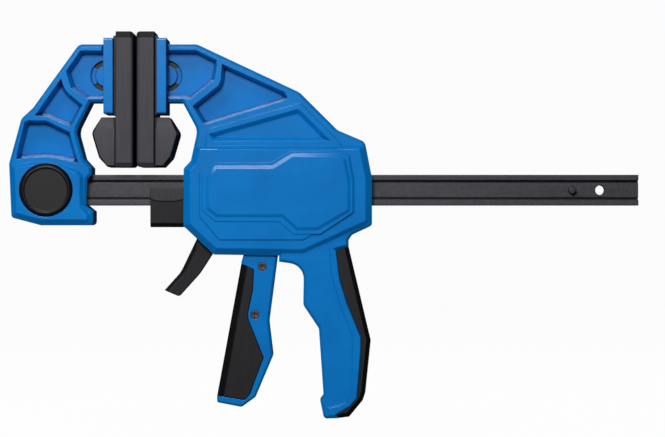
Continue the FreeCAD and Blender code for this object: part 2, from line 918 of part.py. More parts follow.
def build_fixed_jaw():
    owner = new_body("fixed_jaw")
    foot = placed(FIXED_FOOT_SHARES)
    outline = placed(FIXED_ARM_SHARES) + foot + placed(FIXED_NECK_SHARES)
    straight = arm_side - size.arm_edge_bevel
    slab(owner, "arm", outline, straight * 2)
    boss = placed(BOSS_TOP_SHARES) + list(reversed(foot))
    boss_height = size.fixed_jaw_width / 2 - straight
    pocket_depth = arm_side - size.arm_web / 2
    draft = size.pocket_draft
    tip = placed(FIXED_TIP_POCKET_SHARES)
    middle = placed(FIXED_MIDDLE_POCKET_SHARES)
    lower = placed(FIXED_LOWER_POCKET_SHARES)
    for side in (NEAR, FAR):
        mark = "near" if side == NEAR else "far"
        bevel = size.arm_edge_bevel
        raise_side(owner, "arm_" + mark, outline, straight, bevel, side, bevel=bevel)
        raise_side(owner, "boss_" + mark, boss, straight, boss_height, side, bevel=boss_height)
    for side in (NEAR, FAR):
        mark = "near" if side == NEAR else "far"
        sink_side(owner, "tip_pocket_" + mark, tip, arm_side, pocket_depth, side, bevel=draft)
        sink_side(owner, "middle_pocket_" + mark, middle, arm_side, pocket_depth, side, bevel=draft)
        sink_side(owner, "lower_pocket_" + mark, lower, arm_side, pocket_depth, side, bevel=draft)
    add_socket(owner, -1)
    add_flange(owner, -1)
    cut_socket(owner, -1)
    channel = box_corners(-(size.bar_behind_face + size.sliding_gap), ZERO, -slot_half, slot_half)
    cut_through(owner, "bar_channel", channel, slot_side * 2)
    pin_x = -size.button_setback
    face = size.fixed_jaw_width / 2
    above_face = face + size.cut_overrun
    wide = [(pin_x, ZERO, size.button_diameter / 2 + size.button_gap)]
    sink_round(owner, "button_bore", wide, above_face, above_face - bore_depth_left, NEAR)
    neck_hole = [(pin_x, ZERO, size.lock_pin_neck / 2 + size.sliding_gap)]
    sink_round(owner, "neck_bore", neck_hole, bore_depth_left, bore_depth_left, NEAR)
    recess = [(pin_x, ZERO, size.clip_diameter / 2 + size.button_gap)]
    sink_round(owner, "clip_recess", recess, above_face, size.clip_recess_depth + size.cut_overrun, FAR)
    collar = [(pin_x, ZERO, size.lock_pin_diameter / 2 + size.sliding_gap)]
    sink_round(owner, "collar_bore", collar, face, face, FAR)
    return owner


# Button that frees the fixed jaw from the bar

# The button's dish, as shares of its radius, and the bevels of its rim
DISH_FLOOR_SHARE = 0.7
DISH_EDGE_SHARE = 0.8
RIM_BEVEL_SHARE = 0.3


def build_lock_button():
    owner = new_body("lock_button", -size.button_setback)
    radius = size.button_diameter / 2
    rim = size.button_rim_round
    pin_hole = size.lock_pin_neck / 2
    boss = pin_hole + size.button_spring_wire * 2
    groove = size.button_spring_radius + size.button_spring_wire * 2
    turned(owner, "cap", [
        (-(button_face - size.button_dish), ZERO),
        (-(button_face - size.button_dish), radius * DISH_FLOOR_SHARE),
        (-button_face, radius * DISH_EDGE_SHARE),
        (-button_face, radius - rim),
        (rim * RIM_BEVEL_SHARE - button_face, radius - rim * RIM_BEVEL_SHARE),
        (rim - button_face, radius),
        (-button_back, radius),
        (-button_back, groove),
        (-button_floor, groove),
        (-button_floor, boss),
        (-button_back, boss),
        (-button_back, pin_hole),
        (-button_floor, pin_hole),
        (-button_floor, ZERO),
    ])
    return owner


def build_lock_pin():
    owner = new_body("lock_pin", -size.button_setback)
    neck = size.lock_pin_neck / 2
    collar = size.lock_pin_diameter / 2
    shoulder = size.bar_web_thickness / 2 - size.lock_bite
    seat = size.fixed_jaw_width / 2 - size.clip_recess_depth
    stem = neck + size.pin_gap * 2
    groove_end = seat + size.clip_thickness + size.pin_gap
    turned(owner, "pin", [
        (-button_floor, ZERO),
        (-button_floor, neck),
        (shoulder, neck),
        (shoulder, collar),
        (seat, collar),
        (seat, stem),
        (groove_end, stem),
        (groove_end, collar - size.bar_edge_round),
        (groove_end + size.clip_thickness, collar - size.bar_edge_round),
        (groove_end + size.clip_thickness, ZERO),
    ])
    return owner


def build_lock_pin_clip():
    owner = new_body("lock_pin_clip", -size.button_setback)
    seat = size.fixed_jaw_width / 2 - size.clip_recess_depth + size.pin_gap / 2
    bore = size.lock_pin_neck / 2 + size.pin_gap * 3
    turned(owner, "ring", [
        (seat, bore),
        (seat, size.clip_diameter / 2),
        (seat + size.clip_thickness, size.clip_diameter / 2),
        (seat + size.clip_thickness, bore),
    ])
    return owner


# Housing of the moving jaw, in two halves with the rear handle

MOVING_OUTLINE_SHARES = [
    (jaw_high, 0.0, 1.0),
    (jaw_high, 0.0, 0.557),
    (jaw_high, 0.076, 0.557),
    (jaw_high, 0.15, 0.341, size.large_corner_round),
    (jaw_high, 0.117, 0.105),
    (jaw_high, 0.082, 0.047, size.small_corner_round),
    (jaw_low, 0.081, 0.407),
    (jaw_low, 0.23, 0.974),
    (jaw_low, 0.547, 0.99),
    (handle_point, 0.547, 0.036),
    (handle_point, 0.598, 0.045),
    (handle_point, 0.668, 0.055, size.large_corner_round),
    (handle_point, 0.665, 0.302, size.arm_corner_round),
    (handle_point, 0.741, 0.445, size.arm_corner_round),
    (handle_point, 0.764, 0.863),
    (handle_point, 0.748, 0.891),
    (handle_point, 0.766, 1.0, size.small_corner_round),
    (handle_point, 0.829, 0.998),
    (handle_point, 0.834, 0.968),
    (handle_point, 0.893, 0.925),
    (handle_point, 0.927, 0.873),
    (handle_point, 0.946, 0.578),
    (handle_point, 0.946, 0.498),
    (handle_point, 0.878, 0.289),
    (handle_point, 0.844, 0.148),
    (handle_point, 0.825, -0.036),
    (handle_point, 0.886, -0.058),
    (jaw_low, 0.886, 0.686),
    (jaw_low, 0.902, 0.584, size.small_corner_round),
    (jaw_low, 1.0, 0.396, size.small_corner_round),
    (jaw_mid, 1.0, 0.77),
    (jaw_high, 0.966, 0.251, size.arm_corner_round),
    (jaw_high, 0.832, 0.341, size.arm_corner_round),
    (jaw_high, 0.647, 0.631, size.large_corner_round),
    (jaw_high, 0.148, 1.0, size.arm_corner_round),
]


HOUSING_OUTLINE_SHARES = [
    (jaw_high, 0.138, 0.245),
    (jaw_high, 0.117, 0.105),
    (jaw_high, 0.082, 0.047, size.small_corner_round),
    (jaw_low, 0.081, 0.407),
    (jaw_low, 0.23, 0.974),
    (jaw_low, 0.667, 1.0),
    (jaw_low, 1.0, 0.385, size.small_corner_round),
    (jaw_mid, 1.0, 0.77),
    (jaw_high, 0.966, 0.245, size.small_corner_round),
]


HOUSING_FACE_SHARES = [
    (jaw_high, 0.254, 0.199),
    (jaw_high, 0.159, 0.019),
    (jaw_low, 0.159, 0.229),
    (jaw_low, 0.256, 0.692),
    (jaw_low, 0.664, 0.692),
    (jaw_low, 0.914, 0.148),
    (jaw_mid, 0.914, 0.51),
    (jaw_high, 0.892, 0.148),
    (jaw_high, 0.824, 0.199),
]


LABEL_PANEL_SHARES = [
    (jaw_high, 0.234, 0.076),
    (jaw_mid, 0.186, 0.77),
    (jaw_low, 0.186, 0.069),
    (jaw_low, 0.242, 0.258),
    (jaw_low, 0.56, 0.258),
    (jaw_low, 0.63, 0.514),
    (jaw_low, 0.737, 0.514),
    (jaw_low, 0.9, 0.129),
    (jaw_mid, 0.9, 0.58),
    (jaw_high, 0.878, 0.126),
    (jaw_high, 0.829, 0.167),
    (jaw_high, 0.606, 0.167),
    (jaw_high, 0.513, 0.076),
]


# The low step round the label panel's foot
PANEL_SKIRT_SHARES = [
    (jaw_high, 0.227, 0.094),
    (jaw_mid, 0.172, 0.85),
    (jaw_low, 0.172, 0.09),
    (jaw_low, 0.236, 0.325),
    (jaw_low, 0.546, 0.325),
    (jaw_low, 0.618, 0.575),
    (jaw_low, 0.748, 0.575),
    (jaw_low, 0.907, 0.148),
    (jaw_mid, 0.907, 0.56),
    (jaw_high, 0.885, 0.134),
    (jaw_high, 0.831, 0.18),
    (jaw_high, 0.6, 0.18),
    (jaw_high, 0.507, 0.094),
]

# The raised face between the long pocket and the housing
RIB_FACE_SHARES = [
    (jaw_high, 0.203, 0.352),
    (jaw_high, 0.19, 0.3),
    (jaw_high, 0.19, 0.2),
    (jaw_high, 0.849, 0.2),
    (jaw_high, 0.849, 0.24),
    (jaw_high, 0.659, 0.539),
    (jaw_high, 0.64, 0.547),
]

# Where the blue handle meets the rubber, from the top down
GRIP_BOUNDARY_SHARES = [
    (handle_point, 0.886, -0.058),
    (handle_point, 0.825, -0.036),
    (handle_point, 0.844, 0.148),
    (handle_point, 0.878, 0.289),
    (handle_point, 0.946, 0.498),
    (handle_point, 0.946, 0.578),
    (handle_point, 0.927, 0.873),
    (handle_point, 0.893, 0.925),
    (handle_point, 0.834, 0.968),
    (handle_point, 0.829, 0.998),
]


# The back of the core inside the rubber, before the rubber's skin is taken off
TONGUE_BACK_SHARES = [
    (handle_point, 0.873, 0.016),
    (handle_point, 0.992, 0.517),
    (handle_point, 0.962, 0.845),
    (handle_point, 0.91, 0.93),
]
TONGUE_TOP_SHARES = [(handle_point, 0.8, 0.03)]
TONGUE_FRONT_SHARES = [
    (handle_point, 0.84, 0.93),
    (handle_point, 0.84, 0.6),
]


def handle_tongue():
    """The core inside the rubber, set in from its back by the skin."""
    skin = size.handle_grip_skin
    back = [(across - skin, down) for across, down in placed(TONGUE_BACK_SHARES)]
    return placed(TONGUE_TOP_SHARES) + back + placed(TONGUE_FRONT_SHARES)


# The inner line of the raised rim, down beside the rubber and forward across the foot
HANDLE_RIM_SHARES = [
    (handle_point, 0.79, -0.058),
    (handle_point, 0.8, 0.115),
    (handle_point, 0.839, 0.289),
    (handle_point, 0.905, 0.498),
    (handle_point, 0.902, 0.589),
    (handle_point, 0.897, 0.845),
    (handle_point, 0.873, 0.896),
    (handle_point, 0.835, 0.918),
    (handle_point, 0.783, 0.932),
    (handle_point, 0.785, 0.982),
    (handle_point, 0.819, 0.982),
]


def handle_rim():
    return placed(HANDLE_RIM_SHARES) + list(reversed(placed(GRIP_BOUNDARY_SHARES)[1:9]))


# The drive's hollow: how far down its front corner and how far back its floor reach, and
# the notch for the brake plate, in plate thicknesses
CAVITY_FRONT_SHARE = 0.31
CAVITY_FLOOR_SHARE = 0.7
NOTCH_FRONT_SHARE = 0.7
NOTCH_REAR_SHARE = 0.65


def cavity_corners():
    """The hollow for the drive and the brake, with the notch that anchors the brake plate."""
    notch_low = size.brake_anchor_height - size.brake_plate_thickness / 2
    notch_high = size.brake_anchor_height + size.brake_notch_height
    notch_left = anchor_x - size.brake_plate_thickness * NOTCH_FRONT_SHARE
    notch_right = anchor_x + size.brake_plate_thickness * NOTCH_REAR_SHARE
    bay = size.drive_spring_radius + size.drive_spring_wire / 2 + size.cavity_headroom
    rib_left = spring_post_x
    rib_right = spring_post_x + size.spring_post_width
    high_left = notch_right + size.brake_plate_thickness * 2
    bay_left = plates_rear + size.drive_plate_thickness
    low_right = moving_x(CAVITY_FLOOR_SHARE)
    return [
        (cavity_front, below_housing(CAVITY_FRONT_SHARE)),
        (cavity_front + size.cavity_front_wall * 2, cavity_floor),
        (rib_left, cavity_floor),
        (rib_left, -(bar_half + size.lever_under_bar)),
        (rib_right, -(bar_half + size.lever_under_bar)),
        (rib_right, cavity_floor),
        (low_right, cavity_floor),
        (low_right, -bay),
        (cavity_rear, -bay),
        (cavity_rear, bay),
        (bay_left + size.drive_plate_thickness * 2, bay),
        (bay_left, cavity_top),
        (high_left, cavity_top),
        (high_left, notch_low),
        (notch_right, notch_low),
        (notch_right, notch_high),
        (notch_left, notch_high),
        (notch_left, notch_low),
        (cavity_front, notch_low),
    ]


HOUSING_SCREW_SHARES = [
    (handle_point, 0.778, 0.1),
    (handle_point, 0.849, 0.81),
    (jaw_high, 0.868, 0.145),
    (jaw_high, 0.194, 0.256),
    (jaw_low, 0.79, 0.4),
    (jaw_high, 0.62, 0.564),
]
SPRING_POST_SHARE = 0.303

screw_top = arm_side - size.screw_head_sink
screw_seat = screw_top - size.screw_head_height
anchor_x = brake_x
hole_x = brake_x - size.brake_lean
spring_post_x = moving_x(SPRING_POST_SHARE)

MOVING_TIP_POCKET_SHARES = [
    (jaw_high, -0.01, 0.955),
    (jaw_high, 0.143, 0.955),
    (jaw_high, 0.243, 0.879),
    (jaw_high, 0.245, 0.833),
    (jaw_high, 0.233, 0.725),
    (jaw_high, 0.114, 0.575),
    (jaw_high, 0.085, 0.586),
    (jaw_high, -0.01, 0.586),
]

LONG_POCKET_SHARES = [
    (jaw_high, 0.27, 0.848),
    (jaw_high, 0.574, 0.633),
    (jaw_high, 0.589, 0.594),
    (jaw_high, 0.567, 0.564),
    (jaw_high, 0.192, 0.384),
    (jaw_high, 0.177, 0.391),
    (jaw_high, 0.126, 0.526),
    (jaw_high, 0.252, 0.683),
    (jaw_high, 0.263, 0.725),
]

SHALLOW_POCKET_SHARES = [
    (jaw_high, 0.204, 0.311),
    (jaw_high, 0.639, 0.502),
    (jaw_high, 0.654, 0.487),
    (jaw_high, 0.8, 0.257),
    (jaw_high, 0.226, 0.257),
]

# The slots under the housing: where the trigger's starts and how high the lever's reaches
TRIGGER_SLOT_SHARE = -0.226
LEVER_SLOT_SHARE = 0.3


def build_housing_shell(name, side):
    owner = new_body(name)
    bevel = size.arm_edge_bevel
    straight = arm_side - bevel
    outline = placed(MOVING_OUTLINE_SHARES)
    raise_side(owner, "body", outline, ZERO, straight, side)
    raise_side(owner, "body_edge", outline, straight, bevel, side, bevel=bevel)
    rib = size.rib_step
    raise_side(owner, "rib_face", placed(RIB_FACE_SHARES), arm_side, rib, side, bevel=rib)
    housing = placed(HOUSING_OUTLINE_SHARES)
    step_height = housing_side - straight
    raise_side(owner, "housing", housing, straight, step_height, side, bevel=size.housing_bevel)
    start = housing_side
    face = placed(HOUSING_FACE_SHARES)
    raise_side(owner, "face", face, start, size.face_step, side, bevel=size.face_step)
    start = start + size.face_step
    skirt = size.skirt_step
    raise_side(owner, "panel_skirt", placed(PANEL_SKIRT_SHARES), start, skirt, side, bevel=skirt)
    panel = placed(LABEL_PANEL_SHARES)
    raise_side(owner, "panel", panel, start, size.panel_step, side, bevel=size.panel_bevel)
    rim = size.handle_rim_step
    raise_side(owner, "handle_rim", handle_rim(), arm_side, rim, side, bevel=rim)
    raise_side(owner, "tongue", handle_tongue(), ZERO, size.handle_tongue_width / 2, side)
    pocket_depth = arm_side - size.arm_web / 2
    draft = size.pocket_draft
    tip = placed(MOVING_TIP_POCKET_SHARES)
    sink_side(owner, "tip_pocket", tip, arm_side, pocket_depth, side, bevel=draft)
    long = placed(LONG_POCKET_SHARES)
    sink_side(owner, "long_pocket", long, arm_side, pocket_depth, side, bevel=draft)
    depth = size.shallow_pocket + rib
    shallow = placed(SHALLOW_POCKET_SHARES)
    sink_side(owner, "shallow_pocket", shallow, arm_side + rib, depth, side, bevel=depth)
    add_socket(owner, 1, side)
    add_flange(owner, 1, side)
    cut_socket(owner, 1)
    hollow_side(owner, "cavity", cavity_corners(), cavity_side, side)
    channel_end = housing_rear + size.cut_overrun
    channel = box_corners(ZERO, channel_end, -slot_half, slot_half)
    hollow_side(owner, "bar_channel", channel, slot_side, side)
    slot_left = trigger_x(TRIGGER_SLOT_SHARE)
    slot_right = slot_left + size.trigger_slot_length
    slot_low = below_housing(1) - size.trigger_slot_depth
    slot = box_corners(slot_left, slot_right, slot_low, cavity_floor + size.cut_overrun)
    slot_wide = size.trigger_width / 2 + size.trigger_slot_gap
    hollow_side(owner, "trigger_slot", slot, slot_wide, side)
    lever_right = cavity_front + size.release_slot_length
    lever_top = below_housing(LEVER_SLOT_SHARE)
    lever_slot = box_corners(cavity_front, lever_right, slot_low, lever_top)
    lever_wide = size.release_lever_width / 2 + size.release_slot_gap
    hollow_side(owner, "lever_slot", lever_slot, lever_wide, side)
    shoe_top = -slot_half
    spigot = box_corners(
        housing_front - size.cut_overrun,
        housing_front + size.shoe_spigot_length,
        shoe_top - size.shoe_spigot_height,
        shoe_top,
    )
    hollow_side(owner, "shoe_seat", spigot, size.shoe_spigot_width / 2, side)
    eye = new_sketch(owner, "pin_bore", "XZ_Plane")
    draw_circle(eye, pivot_x, size.pivot_height, size.pivot_pin_diameter / 2)
    pocket(owner, eye, size.pivot_pin_length / 2, reverse=side == NEAR)
    places = placed(HOUSING_SCREW_SHARES)
    shank = size.screw_diameter / 2
    if side == FAR:
        heads = [place + (size.screw_head_diameter / 2 + size.sliding_gap,) for place in places]
        outside = housing_side + size.cut_overrun
        sink_round(owner, "screw_heads", heads, outside, outside - screw_seat, FAR)
        shanks = [place + (shank,) for place in places]
        sink_round(owner, "screw_holes", shanks, screw_seat, screw_seat, FAR)
    else:
        sketch = new_sketch(owner, "screw_pilots", "XZ_Plane")
        for place in places:
            draw_circle(sketch, place[0], place[1], shank)
        pocket(owner, sketch, size.screw_length - screw_seat, reverse=True)
    return owner


def build_housing_screws():
    owner = new_body("housing_screws")
    places = placed(HOUSING_SCREW_SHARES)
    tip = size.screw_length - screw_seat
    shanks = [place + (size.screw_diameter / 2,) for place in places]
    raise_round(owner, "shanks", shanks, -tip, size.screw_length, FAR)
    heads = [place + (size.screw_head_diameter / 2,) for place in places]
    raise_round(owner, "heads", heads, screw_seat, size.screw_head_height, FAR)
    return owner


# The back of the rubber, from the foot up
GRIP_BACK_SHARES = [
    (handle_point, 0.888, 0.989),
    (handle_point, 0.956, 0.886, size.arm_corner_round),
    (handle_point, 0.968, 0.836),
    (handle_point, 0.994, 0.517, size.arm_corner_round),
]


def build_handle_grip():
    owner = new_body("handle_grip")
    boundary = placed(GRIP_BOUNDARY_SHARES)
    grip = slab(owner, "grip", boundary + placed(GRIP_BACK_SHARES), size.handle_grip_width)
    doc.recompute()
    side = size.handle_grip_width / 2
    inner = [(corner[0].value, corner[1].value) for corner in boundary]
    edges = outer_edges(grip, side.value, inner)
    chamfer(owner, grip, edges, size.handle_grip_bevel)
    cut_through(owner, "tongue_room", handle_tongue(), size.handle_tongue_width)
    return owner


def outer_edges(feature, side, inner):
    """Edges of the two side faces that lie off a line of corners."""
    names = []
    for number, edge in enumerate(feature.Shape.Edges, start=1):
        box = edge.BoundBox
        flat = box.YMax - box.YMin < EDGE_TOLERANCE
        if not flat or abs(abs(box.YMax) - side) > EDGE_TOLERANCE:
            continue
        middle = edge.valueAt((edge.FirstParameter + edge.LastParameter) / 2)
        on_line = False
        for first, second in zip(inner, inner[1:]):
            whole = math.dist(first, second)
            parts = math.dist(first, (middle.x, middle.z)) + math.dist(second, (middle.x, middle.z))
            on_line = on_line or parts - whole < EDGE_TOLERANCE
        if not on_line:
            names.append("Edge%d" % number)
    return names


# The cheek's lower edge, as shares of its height and of the shoe's length
CHEEK_END_SHARE = 0.64
CHEEK_MIDDLE_SHARE = 0.76
CHEEK_CORNER_SHARE = 0.25


def build_front_guide_shoe():
    owner = new_body("front_guide_shoe")
    wide = size.shoe_width / 2
    narrow = wide - size.shoe_cheek_step
    low = -(bar_half + size.shoe_drop)
    top = low + size.shoe_height
    bevel = size.shoe_bevel
    sketch = new_sketch(owner, "block", "YZ_Plane", housing_front - size.shoe_length)
    draw_outline(sketch, [
        (slot_side, top),
        (slot_side, -slot_half),
        (-slot_side, -slot_half),
        (-slot_side, top),
        (-narrow, top),
        (-narrow, low + bevel),
        (bevel - narrow, low),
        (narrow - bevel, low),
        (narrow, low + bevel),
        (narrow, top),
    ])
    pad(owner, sketch, size.shoe_length)
    left = housing_front - size.shoe_length
    end = top - size.shoe_cheek_height * CHEEK_END_SHARE
    middle = top - size.shoe_cheek_height * CHEEK_MIDDLE_SHARE
    inset = size.shoe_length * CHEEK_CORNER_SHARE
    cheek = [
        (left, top),
        (left, end),
        (left + inset, middle),
        (housing_front - inset, middle),
        (housing_front, end),
        (housing_front, top),
    ]
    for side in (NEAR, FAR):
        mark = "near" if side == NEAR else "far"
        raise_side(owner, "cheek_" + mark, cheek, narrow, size.shoe_cheek_step, side)
    spigot = box_corners(
        housing_front,
        housing_front + size.shoe_spigot_length,
        -slot_half - size.shoe_spigot_height,
        -slot_half,
    )
    slab(owner, "spigot", spigot, size.shoe_spigot_width)
    return owner


# Drive

def build_trigger_pivot_pin():
    owner = new_body("trigger_pivot_pin")
    sketch = new_sketch(owner, "pin", "XZ_Plane")
    draw_circle(sketch, pivot_x, size.pivot_height, size.pivot_pin_diameter / 2)
    pad(owner, sketch, size.pivot_pin_length, both=True)
    return owner


TRIGGER_SCREW_SHARES = [
    (trigger_point, -0.094, 0.071),
    (trigger_point, -0.143, 0.389),
]

# The lever's web, in shares of the trigger's length, and the corners of its cheeks, in
# shares of the eye's and the nose's radius
WEB_FRONT_SHARE = -0.17
WEB_REAR_SHARE = -0.061
WEB_LOW_SHARES = [
    (trigger_point, -0.035, -0.035),
    (trigger_point, -0.191, -0.035),
]
EYE_FRONT_SHARES = (0.96, 0.2)
EYE_REAR_SHARES = (0.3, 0.9)
NOSE_EDGE_SHARE = 0.6


def build_trigger_lever():
    owner = new_body("trigger_lever")
    inside = slot_side + size.lever_cheek_gap
    outside = inside + size.lever_cheek_thickness
    under = -(bar_half + size.lever_under_bar)
    front = trigger_x(WEB_FRONT_SHARE)
    rear = trigger_x(WEB_REAR_SHARE)
    web = [(front, under), (rear, under)] + placed(WEB_LOW_SHARES)
    slab(owner, "web", web, outside * 2)
    slab(owner, "tongue", placed(LEVER_TONGUE_SHARES), size.lever_tongue_thickness)
    eye = size.pivot_eye_radius
    rear_edge = nose_x - size.bar_edge_round
    front_out, front_down = EYE_FRONT_SHARES
    rear_out, rear_down = EYE_REAR_SHARES
    nose_edge = size.lever_nose_radius * NOSE_EDGE_SHARE
    cheek = [
        (pivot_x - eye * front_out, size.pivot_height - eye * front_down),
        (front, under - size.lever_under_bar),
        (rear, under - size.lever_under_bar),
        (rear, under),
        (rear_edge, -nose_edge),
        (rear_edge, nose_edge),
        (pivot_x + eye * rear_out, size.pivot_height - eye * rear_down),
    ]
    for side in (NEAR, FAR):
        mark = "near" if side == NEAR else "far"
        thick = size.lever_cheek_thickness
        raise_side(owner, "cheek_" + mark, cheek, inside, thick, side)
        raise_round(owner, "eye_" + mark, [(pivot_x, size.pivot_height, eye)], inside, thick, side)
        nose = [(nose_x, ZERO, size.lever_nose_radius)]
        raise_round(owner, "nose_" + mark, nose, inside, thick, side)
    bore = [(pivot_x, size.pivot_height, size.pivot_pin_diameter / 2 + size.pin_gap)]
    for place in placed(TRIGGER_SCREW_SHARES):
        bore.append(place + (size.trigger_screw_diameter / 2,))
    bore_through(owner, "bores", bore, outside * 2 + size.cut_overrun)
    return owner


# The blade of the lever that the trigger's halves close on
LEVER_TONGUE_SHARES = [
    (trigger_point, -0.191, -0.052),
    (trigger_point, -0.036, -0.052),
    (trigger_point, -0.07, 0.417),
    (trigger_point, -0.061, 0.626),
    (trigger_point, -0.157, 0.87),
    (trigger_point, -0.243, 0.87),
    (trigger_point, -0.191, 0.417),
    (trigger_point, -0.165, 0.174),
    (trigger_point, -0.165, 0.043),
]


def build_drive_plate(name, start):
    owner = new_body(name)
    side = size.drive_plate_width / 2
    half = size.drive_plate_height / 2
    round_off = size.small_corner_round
    sketch = new_sketch(owner, "plate", "YZ_Plane", start)
    draw_outline(sketch, [
        (-side, -half, round_off),
        (side, -half, round_off),
        (side, half, round_off),
        (-side, half, round_off),
    ])
    play = size.drive_plate_play
    draw_outline(sketch, box_corners(
        -(bar_side + play),
        bar_side + play,
        -(bar_half + play),
        bar_half + play,
    ))
    pad(owner, sketch, size.drive_plate_thickness)
    return owner


# Trigger

TRIGGER_OUTLINE_SHARES = [
    (trigger_point, -0.21, -0.035),
    (trigger_point, -0.232, 0.04),
    (trigger_point, -0.394, 0.925),
    (trigger_point, -0.392, 0.969, size.trigger_edge_bevel),
    (trigger_point, -0.23, 1.0, size.small_corner_round),
    (trigger_point, -0.138, 0.933, size.small_corner_round),
    (trigger_point, -0.023, 0.661, size.arm_corner_round),
    (trigger_point, -0.05, 0.435, size.large_corner_round),
    (trigger_point, 0.011, -0.035),
]


# The rubber's edge, from the top of its front round the back and down
TRIGGER_GRIP_SHARES = [
    (trigger_point, -0.2338, 0.05),
    (trigger_point, -0.148, 0.087),
    (trigger_point, -0.155, 0.225),
    (trigger_point, -0.188, 0.383),
    (trigger_point, -0.183, 0.423),
    (trigger_point, -0.084, 0.671),
    (trigger_point, -0.175, 0.916),
    (trigger_point, -0.21, 0.954),
    (trigger_point, -0.394, 0.925),
]


# How far along the rubber's top and foot its skin ends, and how far out the cut for it starts
CORE_TOP_SHARE = 0.64
CORE_FOOT_SHARE = 0.31
CUT_TOP_SHARE = -0.2
CUT_FOOT_SHARE = -0.1


def trigger_grip_core():
    """The part of the rubber's outline that the blue halves fill."""
    outline = placed(TRIGGER_GRIP_SHARES)
    front_top = between(outline[0], outline[1], CORE_TOP_SHARE)
    front_low = between(outline[8], outline[7], CORE_FOOT_SHARE)
    return [front_top] + outline[1:8] + [front_low]


def build_trigger_shell(name, side):
    owner = new_body(name)
    bevel = size.trigger_edge_bevel
    face = size.trigger_width / 2
    whole = placed(TRIGGER_OUTLINE_SHARES)
    raise_side(owner, "body", whole, ZERO, face - bevel, side)
    raise_side(owner, "edge", whole, face - bevel, bevel, side, bevel=bevel)
    outline = placed(TRIGGER_GRIP_SHARES)
    core = trigger_grip_core()
    front = [
        between(outline[0], outline[1], CUT_TOP_SHARE),
        core[0],
        core[-1],
        between(outline[8], outline[7], CUT_FOOT_SHARE),
    ]
    sink_side(owner, "grip_bed", outline, face, size.trigger_grip_side, side)
    hollow_side(owner, "grip_front", front, face, side)
    hollow_side(owner, "tongue_bed", placed(LEVER_TONGUE_SHARES), size.lever_tongue_thickness / 2, side)
    shank = size.trigger_screw_diameter / 2
    places = placed(TRIGGER_SCREW_SHARES)
    head_top = face - size.trigger_screw_sink
    tip = size.trigger_screw_length - head_top
    if side == NEAR:
        heads = [place + (size.trigger_screw_head / 2 + size.sliding_gap,) for place in places]
        depth = size.trigger_screw_sink + size.trigger_screw_head_height
        sink_round(owner, "screw_heads", heads, face, depth, NEAR)
        holes = [place + (shank,) for place in places]
        sink_round(owner, "screw_holes", holes, face, face, NEAR)
    else:
        sketch = new_sketch(owner, "screw_pilots", "XZ_Plane")
        for place in places:
            draw_circle(sketch, place[0], place[1], shank)
        pocket(owner, sketch, tip)
    return owner


def build_trigger_grip():
    owner = new_body("trigger_grip")
    face = size.trigger_width / 2
    grip = slab(owner, "grip", placed(TRIGGER_GRIP_SHARES), size.trigger_width)
    doc.recompute()
    inner = [(corner[0].value, corner[1].value) for corner in placed(TRIGGER_GRIP_SHARES)]
    edges = outer_edges(grip, face.value, inner)
    chamfer(owner, grip, edges, size.trigger_grip_bevel)
    room = (face - size.trigger_grip_side) * 2
    cut_through(owner, "core_room", trigger_grip_core(), room)
    return owner


def build_trigger_screws():
    owner = new_body("trigger_screws")
    face = size.trigger_width / 2
    head_top = face - size.trigger_screw_sink
    seat = head_top - size.trigger_screw_head_height
    tip = size.trigger_screw_length - head_top
    places = placed(TRIGGER_SCREW_SHARES)
    heads = [place + (size.trigger_screw_head / 2,) for place in places]
    shanks = [place + (size.trigger_screw_diameter / 2,) for place in places]
    raise_round(owner, "shanks", shanks, -tip, seat + tip, NEAR)
    raise_round(owner, "heads", heads, seat, size.trigger_screw_head_height, NEAR)
    return owner


# Brake

def plate_point(along, across):
    """A point of the tilted brake plate, along it from the bar's centre line."""
    tilt = size.brake_tilt.value
    up = along.cosine_share(tilt) - across.sine_share(tilt)
    over = hole_x + along.sine_share(tilt) + across.cosine_share(tilt)
    return (over, up)


# The plate's top above its anchor, in half thicknesses, and the slack that the tilt needs
# in its window, as a share of the bar's half height
ANCHOR_TOP_SHARE = 0.75
WINDOW_SLACK_SHARE = 0.009


def build_brake_plate():
    owner = new_body("brake_plate", hole_x)
    owner.Placement.Rotation = FreeCAD.Rotation(FreeCAD.Vector(0, 1, 0), size.brake_tilt.value)
    owner.setExpression("Placement.Rotation.Angle", "%s * 1 deg" % size.brake_tilt.formula)
    half_thick = size.brake_plate_thickness / 2
    top = size.brake_anchor_height + half_thick * ANCHOR_TOP_SHARE
    foot = -(bar_half + size.brake_foot_wall)
    low = foot - size.brake_tail_length
    side = size.brake_plate_width / 2
    tail = size.brake_tail_width / 2
    sketch = new_sketch(owner, "plate", "YZ_Plane", -half_thick)
    draw_outline(sketch, [
        (-tail, low),
        (tail, low),
        (tail, foot),
        (side, foot),
        (side, top),
        (-side, top),
        (-side, foot),
        (-tail, foot),
    ])
    lean = half_thick.sine_share(size.brake_tilt.value)
    room = bar_half + lean + size.brake_plate_play + bar_half * WINDOW_SLACK_SHARE
    wide = bar_side + size.brake_side_play
    draw_outline(sketch, box_corners(-wide, wide, -room, room))
    pad(owner, sketch, size.brake_plate_thickness)
    return owner


# The lever's neck round the plate, in plate thicknesses before and behind the plate's hole
NECK_FRONT_SHARE = 1.72
NECK_BACK_SHARE = 0.85
NECK_LOW_SHARES = (0.5, 0.48)

# The lever's front from the neck to the tip, and its back from the tip to the neck
LEVER_FRONT_SHARES = [
    (jaw_low, 0.1425, 0.7),
    (jaw_low, 0.064, 1.33, size.lever_bend_round),
    (jaw_low, -0.015, 1.687),
]
LEVER_BACK_SHARES = [
    (jaw_low, 0.057, 1.81, size.trigger_edge_bevel),
    (jaw_low, 0.156, 1.362, size.lever_bend_round),
    (jaw_low, 0.217, 0.98),
    (jaw_low, 0.223, 0.74),
]


